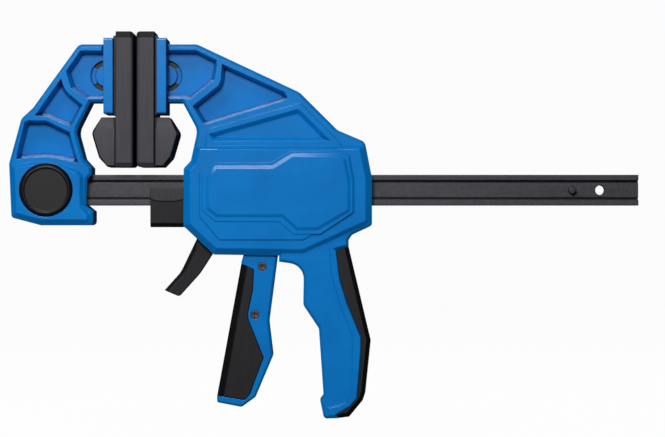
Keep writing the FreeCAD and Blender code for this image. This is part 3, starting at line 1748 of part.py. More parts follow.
def edges_beside(feature, side, path, reach):
    """Edges of the two side faces whose middle lies within reach of a line of corners."""
    names = []
    for number, edge in enumerate(feature.Shape.Edges, start=1):
        box = edge.BoundBox
        flat = box.YMax - box.YMin < EDGE_TOLERANCE
        if not flat or abs(abs(box.YMax) - side) > EDGE_TOLERANCE:
            continue
        middle = edge.valueAt((edge.FirstParameter + edge.LastParameter) / 2)
        spot = Part.Vertex(middle.x, 0, middle.z)
        line = Part.makePolygon([FreeCAD.Vector(across, 0, up) for across, up in path])
        if line.distToShape(spot)[0] < reach:
            names.append("Edge%d" % number)
    return names


def build_release_lever():
    owner = new_body("release_lever")
    top = -(bar_half + size.brake_foot_wall + size.brake_tail_gap)
    back_x = hole_x + size.brake_plate_thickness * NECK_BACK_SHARE
    front_x = hole_x - size.brake_plate_thickness * NECK_FRONT_SHARE
    front_low, back_low = NECK_LOW_SHARES
    front = placed(LEVER_FRONT_SHARES)
    neck_front = [(front_x, top), (front_x, below_housing(front_low))]
    neck_back = [(back_x, below_housing(back_low)), (back_x, top)]
    outline = neck_front + front + placed(LEVER_BACK_SHARES) + neck_back
    lever = slab(owner, "lever", outline, size.release_lever_width)
    doc.recompute()
    path = [(corner[0].value, corner[1].value) for corner in front]
    side = (size.release_lever_width / 2).value
    edges = edges_beside(lever, side, path, size.lever_front_bevel.value / 2)
    chamfer(owner, lever, edges, size.lever_front_bevel)
    half_thick = size.brake_plate_thickness / 2
    foot = -(bar_half + size.brake_foot_wall)
    low = foot - size.brake_tail_length
    socket = [
        plate_point(low, -half_thick),
        plate_point(low, half_thick),
        plate_point(foot + size.cut_overrun, half_thick),
        plate_point(foot + size.cut_overrun, -half_thick),
    ]
    cut_through(owner, "plate_socket", socket, size.brake_tail_width)
    return owner


# Coil springs. All three are hidden, so their wire has flat sides.

WIRE_SIDES = 8
STEPS_PER_TURN = 12


def wire_section(place, outward, wire):
    """A ring of flat-sided wire about one point of the coil."""
    along = FreeCAD.Vector(1, 0, 0)
    corners = []
    for side in range(WIRE_SIDES + 1):
        angle = 2 * math.pi * side / WIRE_SIDES
        offset = outward * math.cos(angle) + along * math.sin(angle)
        corners.append(place + offset * (wire / 2))
    return Part.makePolygon(corners)


def coil_shape(length, radius, wire, turns):
    """A coil along X from the origin, as one loft through sections of its wire."""
    lead = (length - wire) / turns
    sections = []
    for step in range(turns * STEPS_PER_TURN + 1):
        share = step / STEPS_PER_TURN
        angle = 2 * math.pi * share
        outward = FreeCAD.Vector(0, math.sin(angle), math.cos(angle))
        place = outward * radius + FreeCAD.Vector(wire / 2 + lead * share, 0, 0)
        sections.append(wire_section(place, outward, wire))
    return Part.makeLoft(sections, True, True)


def build_spring(name, place, along, length, radius, wire, turns):
    spring = doc.addObject("Part::Feature", name)
    spring.Label = name
    spring.Shape = coil_shape(length.value, radius.value, wire.value, int(turns.value))
    lowered = place[2] - size.pad_centre_height
    base = FreeCAD.Vector(place[0].value, place[1].value, lowered.value)
    turn = FreeCAD.Rotation()
    if along == "y":
        turn = FreeCAD.Rotation(FreeCAD.Vector(0, 0, 1), 90)
    spring.Placement = FreeCAD.Placement(base, turn)
    return spring


def build_springs():
    gap = size.pin_gap
    button_room = button_floor - bore_depth_left
    button_spring = build_spring(
        "lock_button_spring",
        (-size.button_setback, -(button_floor - gap), ZERO),
        "y",
        button_room - gap * 2,
        size.button_spring_radius,
        size.button_spring_wire,
        size.button_spring_turns,
    )
    drive_spring = build_spring(
        "drive_spring",
        (plates_rear + gap, ZERO, ZERO),
        "x",
        cavity_rear - plates_rear - gap * 2,
        size.drive_spring_radius,
        size.drive_spring_wire,
        size.drive_spring_turns,
    )
    lever_back = hole_x + size.brake_plate_thickness * NECK_BACK_SHARE
    brake_spring = build_spring(
        "brake_spring",
        (lever_back + gap, ZERO, -(bar_half + size.brake_spring_drop + size.brake_spring_radius)),
        "x",
        spring_post_x - lever_back - gap * 2,
        size.brake_spring_radius,
        size.brake_spring_wire,
        size.brake_spring_turns,
    )
    return [button_spring, drive_spring, brake_spring]


# The whole clamp

pieces = [
    build_bar(),
    build_stop_pin(),
    build_fixed_jaw(),
    build_pad("fixed_pad", -1),
    build_pad_core("fixed_pad_core", -1),
    build_lock_button(),
    build_lock_pin(),
    build_lock_pin_clip(),
    build_housing_shell("housing_front_shell", NEAR),
    build_housing_shell("housing_back_shell", FAR),
    build_pad("moving_pad", 1),
    build_pad_core("moving_pad_core", 1),
    build_housing_screws(),
    build_handle_grip(),
    build_front_guide_shoe(),
    build_trigger_pivot_pin(),
    build_trigger_lever(),
    build_drive_plate("drive_plate_front", plates_front),
    build_drive_plate("drive_plate_rear", plates_front + size.drive_plate_thickness),
    build_trigger_shell("trigger_front_shell", NEAR),
    build_trigger_shell("trigger_back_shell", FAR),
    build_trigger_grip(),
    build_trigger_screws(),
    build_brake_plate(),
    build_release_lever(),
]
pieces += build_springs()
doc.recompute()


def check_features():
    """Every feature has to be sound, and each pad has to add and each pocket to remove."""
    for item in doc.Objects:
        if "Invalid" in item.State or "Error" in item.State:
            raise ValueError("%s is %s" % (item.Name, item.State))
    for piece in pieces:
        if piece.TypeId != "PartDesign::Body":
            continue
        before = 0.0
        for feature in piece.Group:
            if feature.TypeId not in ("PartDesign::Pad", "PartDesign::Pocket"):
                if hasattr(feature, "Shape") and feature.TypeId.startswith("PartDesign"):
                    before = feature.Shape.Volume
                continue
            grows = feature.TypeId == "PartDesign::Pad"
            if (feature.Shape.Volume > before) != grows:
                raise ValueError("%s changed nothing" % feature.Name)
            before = feature.Shape.Volume


check_features()
os.makedirs("parts", exist_ok=True)
for piece in pieces:
    shape = piece.Shape
    if shape.isNull() or not shape.isValid():
        raise ValueError("%s has no sound shape" % piece.Label)
    shape.exportStep("parts/%s.step" % piece.Label)
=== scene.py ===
# %% [markdown]
# # A quick release bar clamp
# The clamp is a bright blue pistol-grip jaw that slides on a black steel bar, with a fixed blue
# jaw at the left end and soft dark pads between them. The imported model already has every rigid
# form at its real size, so this script gives those forms the small edge roundings of moulded
# parts, the finishes of the real materials, and the light and camera of a catalogue picture.

import json
import math

import bmesh
import bpy
from mathutils import Matrix, Vector


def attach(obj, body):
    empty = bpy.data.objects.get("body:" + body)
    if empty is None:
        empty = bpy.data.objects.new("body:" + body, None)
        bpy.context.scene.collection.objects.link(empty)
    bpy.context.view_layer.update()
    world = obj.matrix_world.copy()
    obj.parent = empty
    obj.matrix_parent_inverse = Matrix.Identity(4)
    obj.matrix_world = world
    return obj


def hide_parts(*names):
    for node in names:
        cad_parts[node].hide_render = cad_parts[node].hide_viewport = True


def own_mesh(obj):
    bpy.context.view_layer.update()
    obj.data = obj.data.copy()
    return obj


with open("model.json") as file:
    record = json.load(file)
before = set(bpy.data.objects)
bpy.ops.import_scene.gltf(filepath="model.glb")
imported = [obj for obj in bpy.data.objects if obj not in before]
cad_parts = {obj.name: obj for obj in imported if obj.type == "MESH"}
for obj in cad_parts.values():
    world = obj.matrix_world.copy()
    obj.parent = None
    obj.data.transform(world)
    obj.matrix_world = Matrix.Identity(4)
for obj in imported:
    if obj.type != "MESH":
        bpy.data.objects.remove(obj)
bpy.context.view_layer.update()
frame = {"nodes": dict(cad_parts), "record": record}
nodes = frame["nodes"]

# %% [markdown]
# ## Camera
# The picture is a straight side view from about two metres away, level with the upper part of
# the handle. A long lens from there keeps the upright edges parallel, and still shows a little
# of the inner walls of the ribbed pockets, as the real picture does.

# %% Camera
MM = 1000  # millimetres in a metre
PICTURE_WIDTH_MM = 508.7
CAMERA_DISTANCE = 1.9
CAMERA_ACROSS = 0.1506
CAMERA_HEIGHT = -0.0904
NEAREST_SEEN = 0.05
SENSOR_MM = 36.0

camera_data = bpy.data.cameras.new("picture_camera")
camera_data.sensor_width = SENSOR_MM
camera_data.lens = SENSOR_MM * CAMERA_DISTANCE * MM / PICTURE_WIDTH_MM
camera_data.clip_start = NEAREST_SEEN
camera = bpy.data.objects.new("picture_camera", camera_data)
camera.location = (CAMERA_ACROSS, -CAMERA_DISTANCE, CAMERA_HEIGHT)
camera.rotation_euler = (math.radians(90), 0, 0)
bpy.context.scene.collection.objects.link(camera)
bpy.context.scene.camera = camera
print("lens", round(camera_data.lens, 2))

# %% [markdown]
# ## Nodes and colours
# Colours are written as the eye reads them on a screen, in hex, but the renderer works with
# linear light, so one function turns one into the other. A second small function adds a shader
# node with its settings and its links, which keeps each material short.

# %% Colour and node helpers


def linear(hex_colour):
    """An sRGB hex colour as linear red, green, blue and alpha."""
    values = [int(hex_colour[i:i + 2], 16) / 255 for i in (1, 3, 5)]
    mixed = [v / 12.92 if v <= 0.04045 else ((v + 0.055) / 1.055) ** 2.4 for v in values]
    return (*mixed, 1.0)


def add_node(tree, kind, settings=None, links=None, **values):
    """Adds a shader node: settings are its own properties, values its sockets, links its inputs."""
    node = tree.nodes.new("ShaderNode" + kind)
    for name, value in (settings or {}).items():
        setattr(node, name, value)
    for name, value in values.items():
        node.inputs[name.replace("_", " ")].default_value = value
    for name, source in (links or {}).items():
        tree.links.new(source, node.inputs[name])
    return node


def new_material(name):
    """An empty material, with its tree and its output node."""
    material = bpy.data.materials.new(name)
    material.use_nodes = True
    tree = material.node_tree
    tree.nodes.clear()
    return material, tree, add_node(tree, "OutputMaterial")


def straight_rays(tree, light_path):
    """One for a ray from the camera, or one that came through glass, and nought for any other."""
    seen = add_node(tree, "Math", {"operation": "MAXIMUM"})
    tree.links.new(light_path.outputs["Is Camera Ray"], seen.inputs[0])
    tree.links.new(light_path.outputs["Is Transmission Ray"], seen.inputs[1])
    return seen.outputs[0]


def shared_out(tree, share, first, second):
    """The first shader where the share is nought, and the second where it is one."""
    choice = add_node(tree, "MixShader")
    for slot, source in enumerate((share, first.outputs[0], second.outputs[0])):
        tree.links.new(source, choice.inputs[slot])
    return choice.outputs[0]


# %% [markdown]
# ## Floor, backdrop and light
# The photograph has a plain white ground. One curved sheet serves as floor and backdrop, so no
# line shows where they meet. Spinning one point gives the curl, and drawing the line out to the
# side gives the sheet. It runs far enough back that the clamp can be looked at from behind.

# %% Floor and backdrop
FLOOR_HEIGHT = -0.30
SHEET_LEFT = -8.0
SHEET_WIDTH = 16.0
SHEET_FRONT = -8.0
SHEET_BACK = 5.4
SHEET_RISE = 6.0
SWEEP_RADIUS = 0.6
SWEEP_STEPS = 16

sheet = bmesh.new()
floor_ends = [sheet.verts.new((SHEET_LEFT, y, FLOOR_HEIGHT)) for y in (SHEET_FRONT, SHEET_BACK)]
sheet.edges.new(floor_ends)
curl = bmesh.ops.spin(
    sheet, geom=[floor_ends[1]], cent=(SHEET_LEFT, SHEET_BACK, FLOOR_HEIGHT + SWEEP_RADIUS),
    axis=(1, 0, 0), angle=math.radians(90), steps=SWEEP_STEPS)
top = [v for v in curl["geom_last"] if isinstance(v, bmesh.types.BMVert)][0]
rise = bmesh.ops.extrude_vert_indiv(sheet, verts=[top])
bmesh.ops.translate(sheet, verts=rise["verts"], vec=(0, 0, SHEET_RISE))
strip = bmesh.ops.extrude_edge_only(sheet, edges=sheet.edges[:])
swept = [v for v in strip["geom"] if isinstance(v, bmesh.types.BMVert)]
bmesh.ops.translate(sheet, verts=swept, vec=(SHEET_WIDTH, 0, 0))
bmesh.ops.recalc_face_normals(sheet, faces=sheet.faces[:])
sweep_mesh = bpy.data.meshes.new("paper_sweep")
sheet.to_mesh(sweep_mesh)
sheet.free()
sweep_mesh.shade_smooth()
sweep = bpy.data.objects.new("paper_sweep", sweep_mesh)
bpy.context.scene.collection.objects.link(sweep)
print("sweep faces", len(sweep_mesh.polygons))

# %% [markdown]
# ### White paper
# To the camera the paper is mostly a light of its own, which lifts it to white but still shows a
# soft shadow. To the object it is a grey paper, and a darker one where a glossy edge mirrors it,
# so the edges that turn away stay deep in colour. The room round it is treated the same way.

# %% Paper and world
WHITE = (1, 1, 1, 1)
PAPER_GREY = 0.30
PAPER_GREY_MIRRORED = 0.06
PAPER_GLOW = 1.135
PAPER_GLOW_SHARE = 0.85
ROOM_LIGHT = 0.05
ROOM_LIGHT_SEEN = 1.0

paper, tree, output = new_material("white_studio_paper")
light_path = add_node(tree, "LightPath")
share = add_node(tree, "Math", {"operation": "MULTIPLY"})
tree.links.new(straight_rays(tree, light_path), share.inputs[0])
share.inputs[1].default_value = PAPER_GLOW_SHARE
mirrored = add_node(tree, "MapRange", links={"Value": light_path.outputs["Is Glossy Ray"]},
                    To_Min=PAPER_GREY, To_Max=PAPER_GREY_MIRRORED)
matte = add_node(tree, "BsdfDiffuse", links={"Color": mirrored.outputs[0]})
glow = add_node(tree, "Emission", Color=WHITE, Strength=PAPER_GLOW)
tree.links.new(shared_out(tree, share.outputs[0], matte, glow), output.inputs["Surface"])
sweep_mesh.materials.append(paper)

world = bpy.data.worlds.new("studio")
bpy.context.scene.world = world
world.use_nodes = True
tree = world.node_tree
tree.nodes.clear()
room = add_node(tree, "Background", Color=WHITE, Strength=ROOM_LIGHT)
room_seen = add_node(tree, "Background", Color=WHITE, Strength=ROOM_LIGHT_SEEN)
seen = straight_rays(tree, add_node(tree, "LightPath"))
add_node(tree, "OutputWorld", links={"Surface": shared_out(tree, seen, room, room_seen)})
bpy.context.scene.view_settings.view_transform = "Standard"
print("paper grey", PAPER_GREY, "room light", ROOM_LIGHT)

# %% [markdown]
# ### Lamps
# In the photograph the flat faces are the brightest, every edge that turns away is deeper, and
# the pockets hold a short soft shadow at their top and left. So the room itself is dark, and
# the key lamp is a softbox close above the camera and a little to the left. Two narrow strips,
# one above and one on the left, draw the near-white lines on the panel's upper bevels. A weaker
# softbox behind the clamp only matters when it is looked at from the far side.

# %% Lamps
# Where each lamp is, how far across it aims, its width and height in metres, and its watts.
LAMPS = {
    "key_softbox": ((-0.14, -1.85, 0.74), 0.12, 0.7, 0.6, 29.0),
    "upper_strip": ((-0.20, -0.53, 0.75), -0.27, 0.62, 0.10, 2.2),
    "left_strip": ((-0.72, -0.57, 0.50), 0.12, 0.20, 0.14, 1.1),
    "back_softbox": ((0.25, 1.50, 1.50), 0.12, 1.2, 1.0, 12.0),
}
LOOK_HEIGHT = -0.07

for name, (place, look_x, width, height, power) in LAMPS.items():
    lamp_data = bpy.data.lights.new(name, "AREA")
    lamp_data.shape = "ELLIPSE"
    lamp_data.size = width
    lamp_data.size_y = height
    lamp_data.energy = power
    lamp = bpy.data.objects.new(name, lamp_data)
    lamp.location = place
    aim = Vector((look_x, 0, LOOK_HEIGHT)) - Vector(place)
    lamp.rotation_euler = aim.to_track_quat("-Z", "Y").to_euler()
    bpy.context.scene.collection.objects.link(lamp)
print("lamps", ", ".join(LAMPS))

# %% [markdown]
# ## Materials
# Seven finishes cover the whole clamp, and three rougher ones, lightened with a painted sheen,
# go on its flat black sides. Each reads the object's own coordinates in metres, so a pattern's
# scale is one over its real spacing in metres.

# %% Shared pieces of a material
NOISE_LOW = 0.3
NOISE_HIGH = 0.7
NOISE_ROUGHNESS = 0.55
AO_SAMPLES = 12
AO_DEEP = 0.45
AO_OPEN = 0.95
SOFT_EDGE_SAMPLES = 4


def grain(tree, spacing_mm, stretch=(1, 1, 1), detail=3.0):
    """A noise with features about spacing_mm apart, drawn out along an axis of small stretch."""
    place = add_node(tree, "TexCoord")
    size = add_node(tree, "Mapping", links={"Vector": place.outputs["Object"]}, Scale=stretch)
    return add_node(tree, "TexNoise", links={"Vector": size.outputs[0]},
                    Scale=MM / spacing_mm, Detail=detail, Roughness=NOISE_ROUGHNESS)


def varied(tree, noise, first, second):
    """A number that follows a noise between two values."""
    spread = add_node(tree, "MapRange", links={"Value": noise.outputs[0]},
                      From_Min=NOISE_LOW, From_Max=NOISE_HIGH, To_Min=first, To_Max=second)
    return spread.outputs[0]


def tinted(tree, noise, first, second):
    """A colour that follows a noise between two hex colours."""
    ramp = add_node(tree, "ValToRGB", links={"Fac": noise.outputs[0]})
    stops = ramp.color_ramp.elements
    stops[0].position, stops[1].position = NOISE_LOW, NOISE_HIGH
    stops[0].color, stops[1].color = linear(first), linear(second)
    return ramp.outputs[0]


def crease_shaded(tree, colour, reach_mm, shade_colour):
    """The colour with painted shade: darker towards a shade colour in creases within that reach."""
    crease = add_node(tree, "AmbientOcclusion", {"samples": AO_SAMPLES, "only_local": True},
                      Distance=reach_mm / MM)
    open_share = add_node(tree, "MapRange", {"interpolation_type": "SMOOTHSTEP"},
                          {"Value": crease.outputs["AO"]}, From_Min=AO_DEEP, From_Max=AO_OPEN)
    return add_node(tree, "MixRGB", links={"Fac": open_share.outputs[0], "Color2": colour},
                    Color1=linear(shade_colour)).outputs[0]


def relief(tree, noise, depth_mm, strength, round_mm=0.4):
    """A bump of that depth from a noise, over edges softened by that radius."""
    soft = add_node(tree, "Bevel", {"samples": SOFT_EDGE_SAMPLES}, Radius=round_mm / MM)
    return add_node(tree, "Bump", links={"Height": noise.outputs[0], "Normal": soft.outputs[0]},
                    Distance=depth_mm / MM, Strength=strength).outputs[0]


def skin(material, output, links, **values):
    """Gives a material a Principled shader with those links and values."""
    tree = material.node_tree
    shader = add_node(tree, "BsdfPrincipled", links=links, **values)
    tree.links.new(shader.outputs[0], output.inputs["Surface"])
    print(material.name, len(tree.nodes), "nodes")


# %% [markdown]
# ### Glass-filled nylon, blue
# The jaws, housing and trigger are injection moulded from nylon with glass fibre, coloured
# through. The mould leaves a very fine even grain: the flat faces look satin, and only the
# bevels gather a soft highlight. Painted shade turns the creases between ribs and walls deeper blue.

# %% Blue nylon
blue_nylon, tree, output = new_material("blue_glass_filled_nylon")
cloud = grain(tree, spacing_mm=28.0, detail=2.0)
pebble = grain(tree, spacing_mm=0.9)
plain = tinted(tree, cloud, "#0071be", "#0079c8")
skin(blue_nylon, output, {
    "Base Color": crease_shaded(tree, plain, reach_mm=2.5, shade_colour="#002c64"),
    "Roughness": varied(tree, pebble, 0.18, 0.25),
    "Normal": relief(tree, pebble, depth_mm=0.05, strength=0.35, round_mm=0.7),
}, IOR=1.53, Specular_IOR_Level=0.32)

# %% [markdown]
# ### Soft grip rubber, black
# The pads and the grips are a thermoplastic rubber, a deep matte black wherever an edge turns.
# Its grain is a little coarser than the nylon's.

# %% Black rubber
black_rubber, tree, output = new_material("black_thermoplastic_rubber")
cloud = grain(tree, spacing_mm=18.0, detail=2.0)
pebble = grain(tree, spacing_mm=1.1)
skin(black_rubber, output, {
    "Base Color": tinted(tree, cloud, "#0a0a0c", "#0f0f11"),
    "Roughness": varied(tree, pebble, 0.42, 0.5),
    "Normal": relief(tree, pebble, depth_mm=0.05, strength=0.3),
}, IOR=1.5, Specular_IOR_Level=0.26)

# %% [markdown]
# ### Flat black sides
# The flat sides of the pads, the grips, the release lever and the guide shoe come from a
# spark-eroded mould, rougher than their bevels, and the tool's upright strokes leave them faintly
# striped. Their lighter grey is a painted sheen, put on the faces that turn out in place of the
# frontal light's soft reflection, so finishes with upright streaks and that sheen are kept for
# those faces alone.

# %% Eroded flats


def eroded_skin_with_sheen(name, dark, light, level):
    """A rough black moulding skin with upright streaks, lightened as a painted sheen."""
    material, tree, output = new_material(name)
    streak = grain(tree, spacing_mm=1.3, stretch=(1, 1, 0.06), detail=4.0)
    pebble = grain(tree, spacing_mm=0.5)
    skin(material, output, {
        "Base Color": tinted(tree, streak, dark, light),
        "Roughness": varied(tree, pebble, 0.5, 0.64),
        "Normal": relief(tree, streak, depth_mm=0.05, strength=0.3),
    }, IOR=1.5, Specular_IOR_Level=level)
    return material


eroded_sheen_rubber = eroded_skin_with_sheen("spark_eroded_rubber_painted_sheen", "#302e35", "#3a3840", level=0.36)
eroded_sheen_grip = eroded_skin_with_sheen("spark_eroded_grip_rubber_painted_sheen", "#151418", "#1c1b1f", level=0.26)
eroded_sheen_nylon = eroded_skin_with_sheen("spark_eroded_nylon_painted_sheen", "#29282e", "#323137", level=0.32)

# %% [markdown]
# ### Nylon, black
# The button, the guide shoe, the release lever and the pads' carriers are black nylon, a shade
# lighter and smoother than the rubber beside them.

# %% Black nylon
black_nylon, tree, output = new_material("black_moulded_nylon")
cloud = grain(tree, spacing_mm=22.0, detail=2.0)
pebble = grain(tree, spacing_mm=0.8)
skin(black_nylon, output, {
    "Base Color": tinted(tree, cloud, "#111113", "#161619"),
    "Roughness": varied(tree, pebble, 0.34, 0.44),
    "Normal": relief(tree, pebble, depth_mm=0.04, strength=0.35),
}, IOR=1.53, Specular_IOR_Level=0.28)

# %% [markdown]
# ### Black phosphated steel
# The bar is rolled steel with a black phosphate and oil finish. The rolling leaves faint lines
# along its length, so the noise is drawn out along X, and the finish is thin enough to keep a
# metal's broad, soft gloss. Painted shade takes the grooves under its flanges nearly black.

# %% Bar steel
black_steel, tree, output = new_material("black_phosphated_steel")
streak = grain(tree, spacing_mm=1.2, stretch=(0.02, 1, 1), detail=4.0)
fleck = grain(tree, spacing_mm=2.6)
plain = tinted(tree, fleck, "#33333a", "#3f3f46")
skin(black_steel, output, {
    "Base Color": crease_shaded(tree, plain, reach_mm=3.0, shade_colour="#0c0c0e"),
    "Roughness": varied(tree, streak, 0.34, 0.5),
    "Normal": relief(tree, streak, depth_mm=0.03, strength=0.3),
}, Metallic=0.35)

# %% [markdown]
# ### Small steel parts
# The screws are blackened, the pins, fork and plates of the drive are zinc plated, and the
# springs are drawn wire. All of these are small or hidden, so one noise each is enough.

# %% Screws, zinc and wire
ROUGHNESS_SPREAD = 0.12


def small_steel(name, dark, light, rough, metallic):
    """A plain steel finish that one mottled noise varies."""
    material, tree, output = new_material(name)
    mottle = grain(tree, spacing_mm=1.5)
    skin(material, output, {
        "Base Color": tinted(tree, mottle, dark, light),
        "Roughness": varied(tree, mottle, rough, rough + ROUGHNESS_SPREAD),
        "Normal": relief(tree, mottle, depth_mm=0.02, strength=0.25),
    }, Metallic=metallic)
    return material


black_screw = small_steel("black_oxide_steel", "#4a403e", "#5a4f4c", rough=0.4, metallic=0.7)
bright_steel = small_steel("zinc_plated_steel", "#a9abad", "#bcbfc2", rough=0.28, metallic=1.0)
spring_steel = small_steel("drawn_spring_wire", "#8f8f90", "#a3a3a5", rough=0.3, metallic=1.0)

# %% [markdown]
# ### Each piece's finish
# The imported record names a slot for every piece, so the finishes are given out by that list.

# %% Give out the finishes
FINISHES = {
    "blue_nylon": blue_nylon,
    "black_rubber": black_rubber,
    "black_nylon": black_nylon,
    "black_steel": black_steel,
    "black_screw": black_screw,
    "bright_steel": bright_steel,
    "spring_steel": spring_steel,
}
slot_of = {item["node"]: item["material_slot"] for item in frame["record"]["subparts"]}
bodies = frame["record"]["behaviour"]["bodies"]
body_of = {node: body for body, members in bodies.items() for node in members}
for name, node in nodes.items():
    node.data.materials.clear()
    node.data.materials.append(FINISHES[slot_of[name]])
print("finishes", len(FINISHES))

# %% [markdown]
# ## Moulded edges
# No moulded edge is razor sharp: the mould's own edges leave a radius of a few tenths of a
# millimetre, and that thin round catches the light along every rib. A modifier could do it, but
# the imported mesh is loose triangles, so a copy is first merged. The finished copy rides on the
# same moving body as its node and takes the node's place.

# %% A copy to work on, and its piece
MERGE_WITHIN = 2e-6


def merged(node):
    """A node's loose triangles joined into one skin, as a copy to work on."""
    shape = bmesh.new()
    shape.from_mesh(nodes[node].data)
    bmesh.ops.remove_doubles(shape, verts=shape.verts[:], dist=MERGE_WITHIN)
    return shape


def stand_in(shape, node, ending, more_finishes=()):
    """Makes a piece of a worked copy, which rides on the node's body and takes the node's place."""
    mesh = bpy.data.meshes.new(node + ending)
    shape.to_mesh(mesh)
    shape.free()
    mesh.shade_smooth()
    for finish in (FINISHES[slot_of[node]], *more_finishes):
        mesh.materials.append(finish)
    piece = bpy.data.objects.new(node + ending, mesh)
    bpy.context.scene.collection.objects.link(piece)
    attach(piece, body_of[node])
    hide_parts(node)
    return piece


# %% [markdown]
# ### Bevels
# Only the edges where two faces really turn are bevelled, so a cylinder keeps its facets. The
# bevel is clamped, which stops it before it runs into its neighbour.

# %% Sharp edges and their rounding
SHARP_DEGREES = 24.0
ROUND_PROFILE = 0.5


def sharp_edges(shape):
    """The edges where two faces meet at a real turn."""
    turn = math.radians(SHARP_DEGREES)
    return [e for e in shape.edges if len(e.link_faces) == 2 and e.calc_face_angle() > turn]


def round_off(shape, edges, width_mm, steps):
    """Bevels those edges to a round of that many steps."""
    bmesh.ops.bevel(shape, geom=edges, offset=width_mm / MM, offset_type="OFFSET", segments=steps,
                    profile=ROUND_PROFILE, affect="EDGES", clamp_overlap=True, material=-1)


# %% [markdown]
# ### Heels of the pads
# Each pad ends in a heel that wraps the lower end of its jaw. In the photograph the heel's flat
# sides reach right up to the pad, with only a narrow bevel round them, so their corners are
# drawn out a little before the edges are rounded.

# %% Widen a heel
HEEL_SIDE = 0.020
HEEL_START = 0.0165
HEEL_TOWARDS_PAD = 0.0036
HEEL_OUTWARDS = 0.0012
HEEL_FACING = {"fixed_pad": -1, "moving_pad": 1}
SAME_PLANE = 0.0001
SAME_CORNER = 0.0003


def widen_heel(shape, facing):
    """Draws the heel's flat sides out, so that they reach the pad and their bevel is narrow."""
    flats = [v for v in shape.verts
             if abs(abs(v.co.y) - HEEL_SIDE) < SAME_PLANE and v.co.x * facing > HEEL_START]
    nearest = min(v.co.x * facing for v in flats)
    inner = [v for v in flats if v.co.x * facing < nearest + SAME_CORNER]
    outer = [v for v in flats if v not in inner]
    low = min(v.co.z for v in flats)
    foot = [v for v in flats if v.co.z < low + SAME_CORNER]
    bmesh.ops.translate(shape, verts=inner, vec=(-HEEL_TOWARDS_PAD * facing, 0, 0))
    bmesh.ops.translate(shape, verts=outer, vec=(HEEL_OUTWARDS * facing, 0, 0))
    bmesh.ops.translate(shape, verts=foot, vec=(0, 0, -HEEL_OUTWARDS))


# %% [markdown]
# ### Dish of the button
# The lock button's front is a shallow dish that a thumb finds by feel, with a narrow rim round
# it. Scaling the rings about the button's middle widens the dish and leaves its outline alone.

# %% Spread the dish
# The radii of the rings on the button's front, as packed and as shown, in millimetres.
DISH_RINGS_MM = {13.8: 16.2, 14.8: 16.6, 15.8: 17.1, 17.1: 17.7}
BUTTON_MIDDLE = Vector((-0.0665, 0, -0.0688))
BUTTON_FRONT = -0.019
SAME_RING = 0.0002


def spread_dish(shape):
    """Moves the rings of the button's front, so that its dish is wide and its rim narrow."""
    radius_of = {v: (v.co - BUTTON_MIDDLE).xz.length for v in shape.verts if v.co.y < BUTTON_FRONT}
    for ring, shown in DISH_RINGS_MM.items():
        verts = [v for v, radius in radius_of.items() if abs(radius - ring / MM) < SAME_RING]
        bmesh.ops.scale(shape, verts=verts, vec=(shown / ring, 1, shown / ring),
                        space=Matrix.Translation(-BUTTON_MIDDLE))


# %% [markdown]
# ### Cross recesses
# The trigger's two screws have a cross recess in the head. An inset leaves a small disc in the
# middle of the head, drawing four sets of its corners in makes a cross of it, and a second inset
# sinks the cross.

# %% Cut the recesses
FACES_FRONT = -0.99
RECESS_SHARE = 0.45
RECESS_TAPER = 0.0001
RECESS_DEPTH = 0.0011
CROSS_ARMS = 4
CROSS_CORNER = 0.2


def cut_cross_recess(shape):
    """Sinks a cross recess into the middle of each screw head's flat front."""
    front = min(f.calc_center_median().y for f in shape.faces)
    heads = [f for f in shape.faces
             if f.normal.y < FACES_FRONT and f.calc_center_median().y < front + SAME_PLANE]
    for head in heads:
        radius = math.sqrt(head.calc_area() / math.pi)
        bmesh.ops.inset_individual(shape, faces=[head], thickness=radius * RECESS_SHARE)
        middle = head.calc_center_median()
        angle_of = {v: math.atan2(v.co.z - middle.z, v.co.x - middle.x) for v in head.verts}
        corners = [v for v, angle in angle_of.items() if math.cos(CROSS_ARMS * angle) < CROSS_CORNER]
        bmesh.ops.scale(shape, verts=corners, vec=(RECESS_SHARE, 1, RECESS_SHARE),
                        space=Matrix.Translation(-middle))
        bmesh.ops.inset_individual(shape, faces=[head], thickness=RECESS_TAPER, depth=-RECESS_DEPTH)


# %% [markdown]
# ### Round a whole piece
# The long outer edges of the housing and of the pads are broader than the rest, so they are
# rounded first, and then every edge that is still sharp. The flat sides that face out and not up
# take their rougher finish with its painted sheen, and weighted normals keep the flat faces flat
# beside the new rounds.

# %% Round the edges of a node
FLAT_DEGREES = 0.6
EDGE_STEPS = 2
BROAD_EDGE_STEPS = 3
FACES_UP = 0.4
# How far out in Y a node's long edges lie, how broad their rounding is, and how far along X
# from the pads' meeting line it starts, all in millimetres.
BROAD_EDGES = {
    "housing_front_shell": (19.5, 1.4, 0),
    "housing_back_shell": (19.5, 1.4, 0),
    "fixed_pad": (23.0, 0.9, 10),
    "moving_pad": (23.0, 0.9, 10),
}
# The eroded finish with painted sheen for a node's flats, how many millimetres out in Y it
# starts, and how squarely a face has to turn to the side to have it.
SHEEN_PAINTED_FLATS = {
    "fixed_pad": [(eroded_sheen_rubber, 17.8, 0.55)],
    "moving_pad": [(eroded_sheen_rubber, 17.8, 0.55)],
    "trigger_grip": [(eroded_sheen_grip, 0, 0.99)],
    "handle_grip": [(eroded_sheen_grip, 0, 0.99)],
    "release_lever": [(eroded_sheen_grip, 0, 0.99)],
    "front_guide_shoe": [(eroded_sheen_grip, 11.0, 0.99), (eroded_sheen_nylon, 11.9, 0.99)],
}


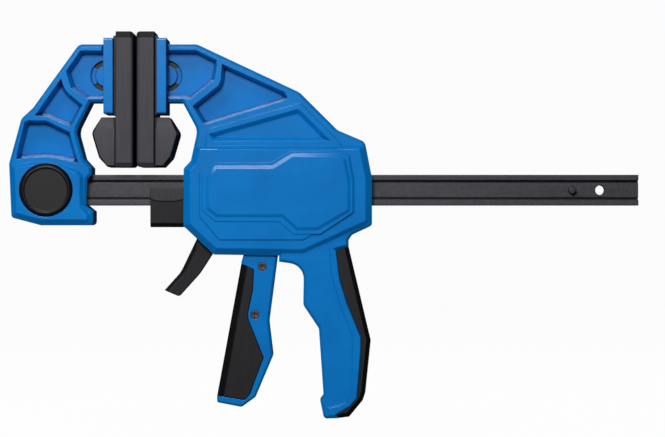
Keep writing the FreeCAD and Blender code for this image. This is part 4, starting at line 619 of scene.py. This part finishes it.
def softened(node, width_mm):
    """A copy of a node with its sharp edges rounded, which takes the node's place."""
    shape = merged(node)
    bmesh.ops.dissolve_limit(shape, angle_limit=math.radians(FLAT_DEGREES),
                             use_dissolve_boundaries=False,
                             verts=shape.verts[:], edges=shape.edges[:])
    if node in HEEL_FACING:
        widen_heel(shape, HEEL_FACING[node])
    if node == "lock_button":
        spread_dish(shape)
    if node == "trigger_screws":
        cut_cross_recess(shape)
    if node in BROAD_EDGES:
        depth, radius, reach = BROAD_EDGES[node]
        outer = [e for e in sharp_edges(shape) if e.is_convex and all(
            abs(abs(v.co.y) - depth / MM) < SAME_PLANE and abs(v.co.x) > reach / MM for v in e.verts)]
        round_off(shape, outer, radius, BROAD_EDGE_STEPS)
    round_off(shape, sharp_edges(shape), width_mm, EDGE_STEPS)
    sheen_flat_finishes = SHEEN_PAINTED_FLATS.get(node, [])
    # Faces turned out to the side, and not up, take the lighter finish: a painted sheen.
    for slot, (_, beyond, turned) in enumerate(sheen_flat_finishes, start=1):
        for face in shape.faces:
            outer = abs(face.calc_center_median().y) > beyond / MM
            if outer and abs(face.normal.y) > turned and face.normal.z < FACES_UP:
                face.material_index = slot
    piece = stand_in(shape, node, "_edges", [finish for finish, _, _ in sheen_flat_finishes])
    normals = piece.modifiers.new("flat_faces", "WEIGHTED_NORMAL")
    normals.keep_sharp = False
    return piece


# %% [markdown]
# ### Which pieces, and how broad
# The nylon mouldings have tight edges, the grips and the guide shoe soft ones, and the rolled
# and turned steel hardly any. The hidden drive parts keep the edges they were packed with.

# %% Round every piece that shows
EDGE_WIDTHS_MM = {
    "fixed_jaw": 0.45,
    "housing_front_shell": 0.45,
    "housing_back_shell": 0.45,
    "trigger_front_shell": 0.4,
    "trigger_back_shell": 0.4,
    "fixed_pad": 0.5,
    "moving_pad": 0.5,
    "fixed_pad_core": 0.4,
    "moving_pad_core": 0.4,
    "handle_grip": 0.8,
    "trigger_grip": 0.8,
    "front_guide_shoe": 0.9,
    "release_lever": 0.5,
    "lock_button": 0.35,
    "bar": 0.3,
    "bar_stop_pin": 0.2,
    "trigger_screws": 0.1,
}
for node, width in EDGE_WIDTHS_MM.items():
    piece = softened(node, width)
    print(piece.name, len(piece.data.polygons), "faces")

# %% [markdown]
# ## Coil springs
# Three springs are hidden inside. Each keeps one end against its seat while the piece at its
# other end moves, so it must shorten by that piece's travel. Here each coil is only merged into a
# copy that takes its node's place; the copy does not shorten as the joint moves.

# %% Copies of the springs
# The joint that presses it, the axis it lies along (0 is X, 1 is Y), where its seat lies and how
# far its other end travels, in millimetres.
SPRINGS = {
    "lock_button_spring": ("lock_button_press", 1, -7.49, 3.0),
    "drive_spring": ("drive_plates_slide", 0, 169.96, 5.2),
    "brake_spring": ("release_lever_press", 0, 71.96, 4.9),
}
for node, (joint, way, seat_mm, travel_mm) in SPRINGS.items():
    shape = merged(node)
    coil = stand_in(shape, node, "_coil")
    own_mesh(coil)
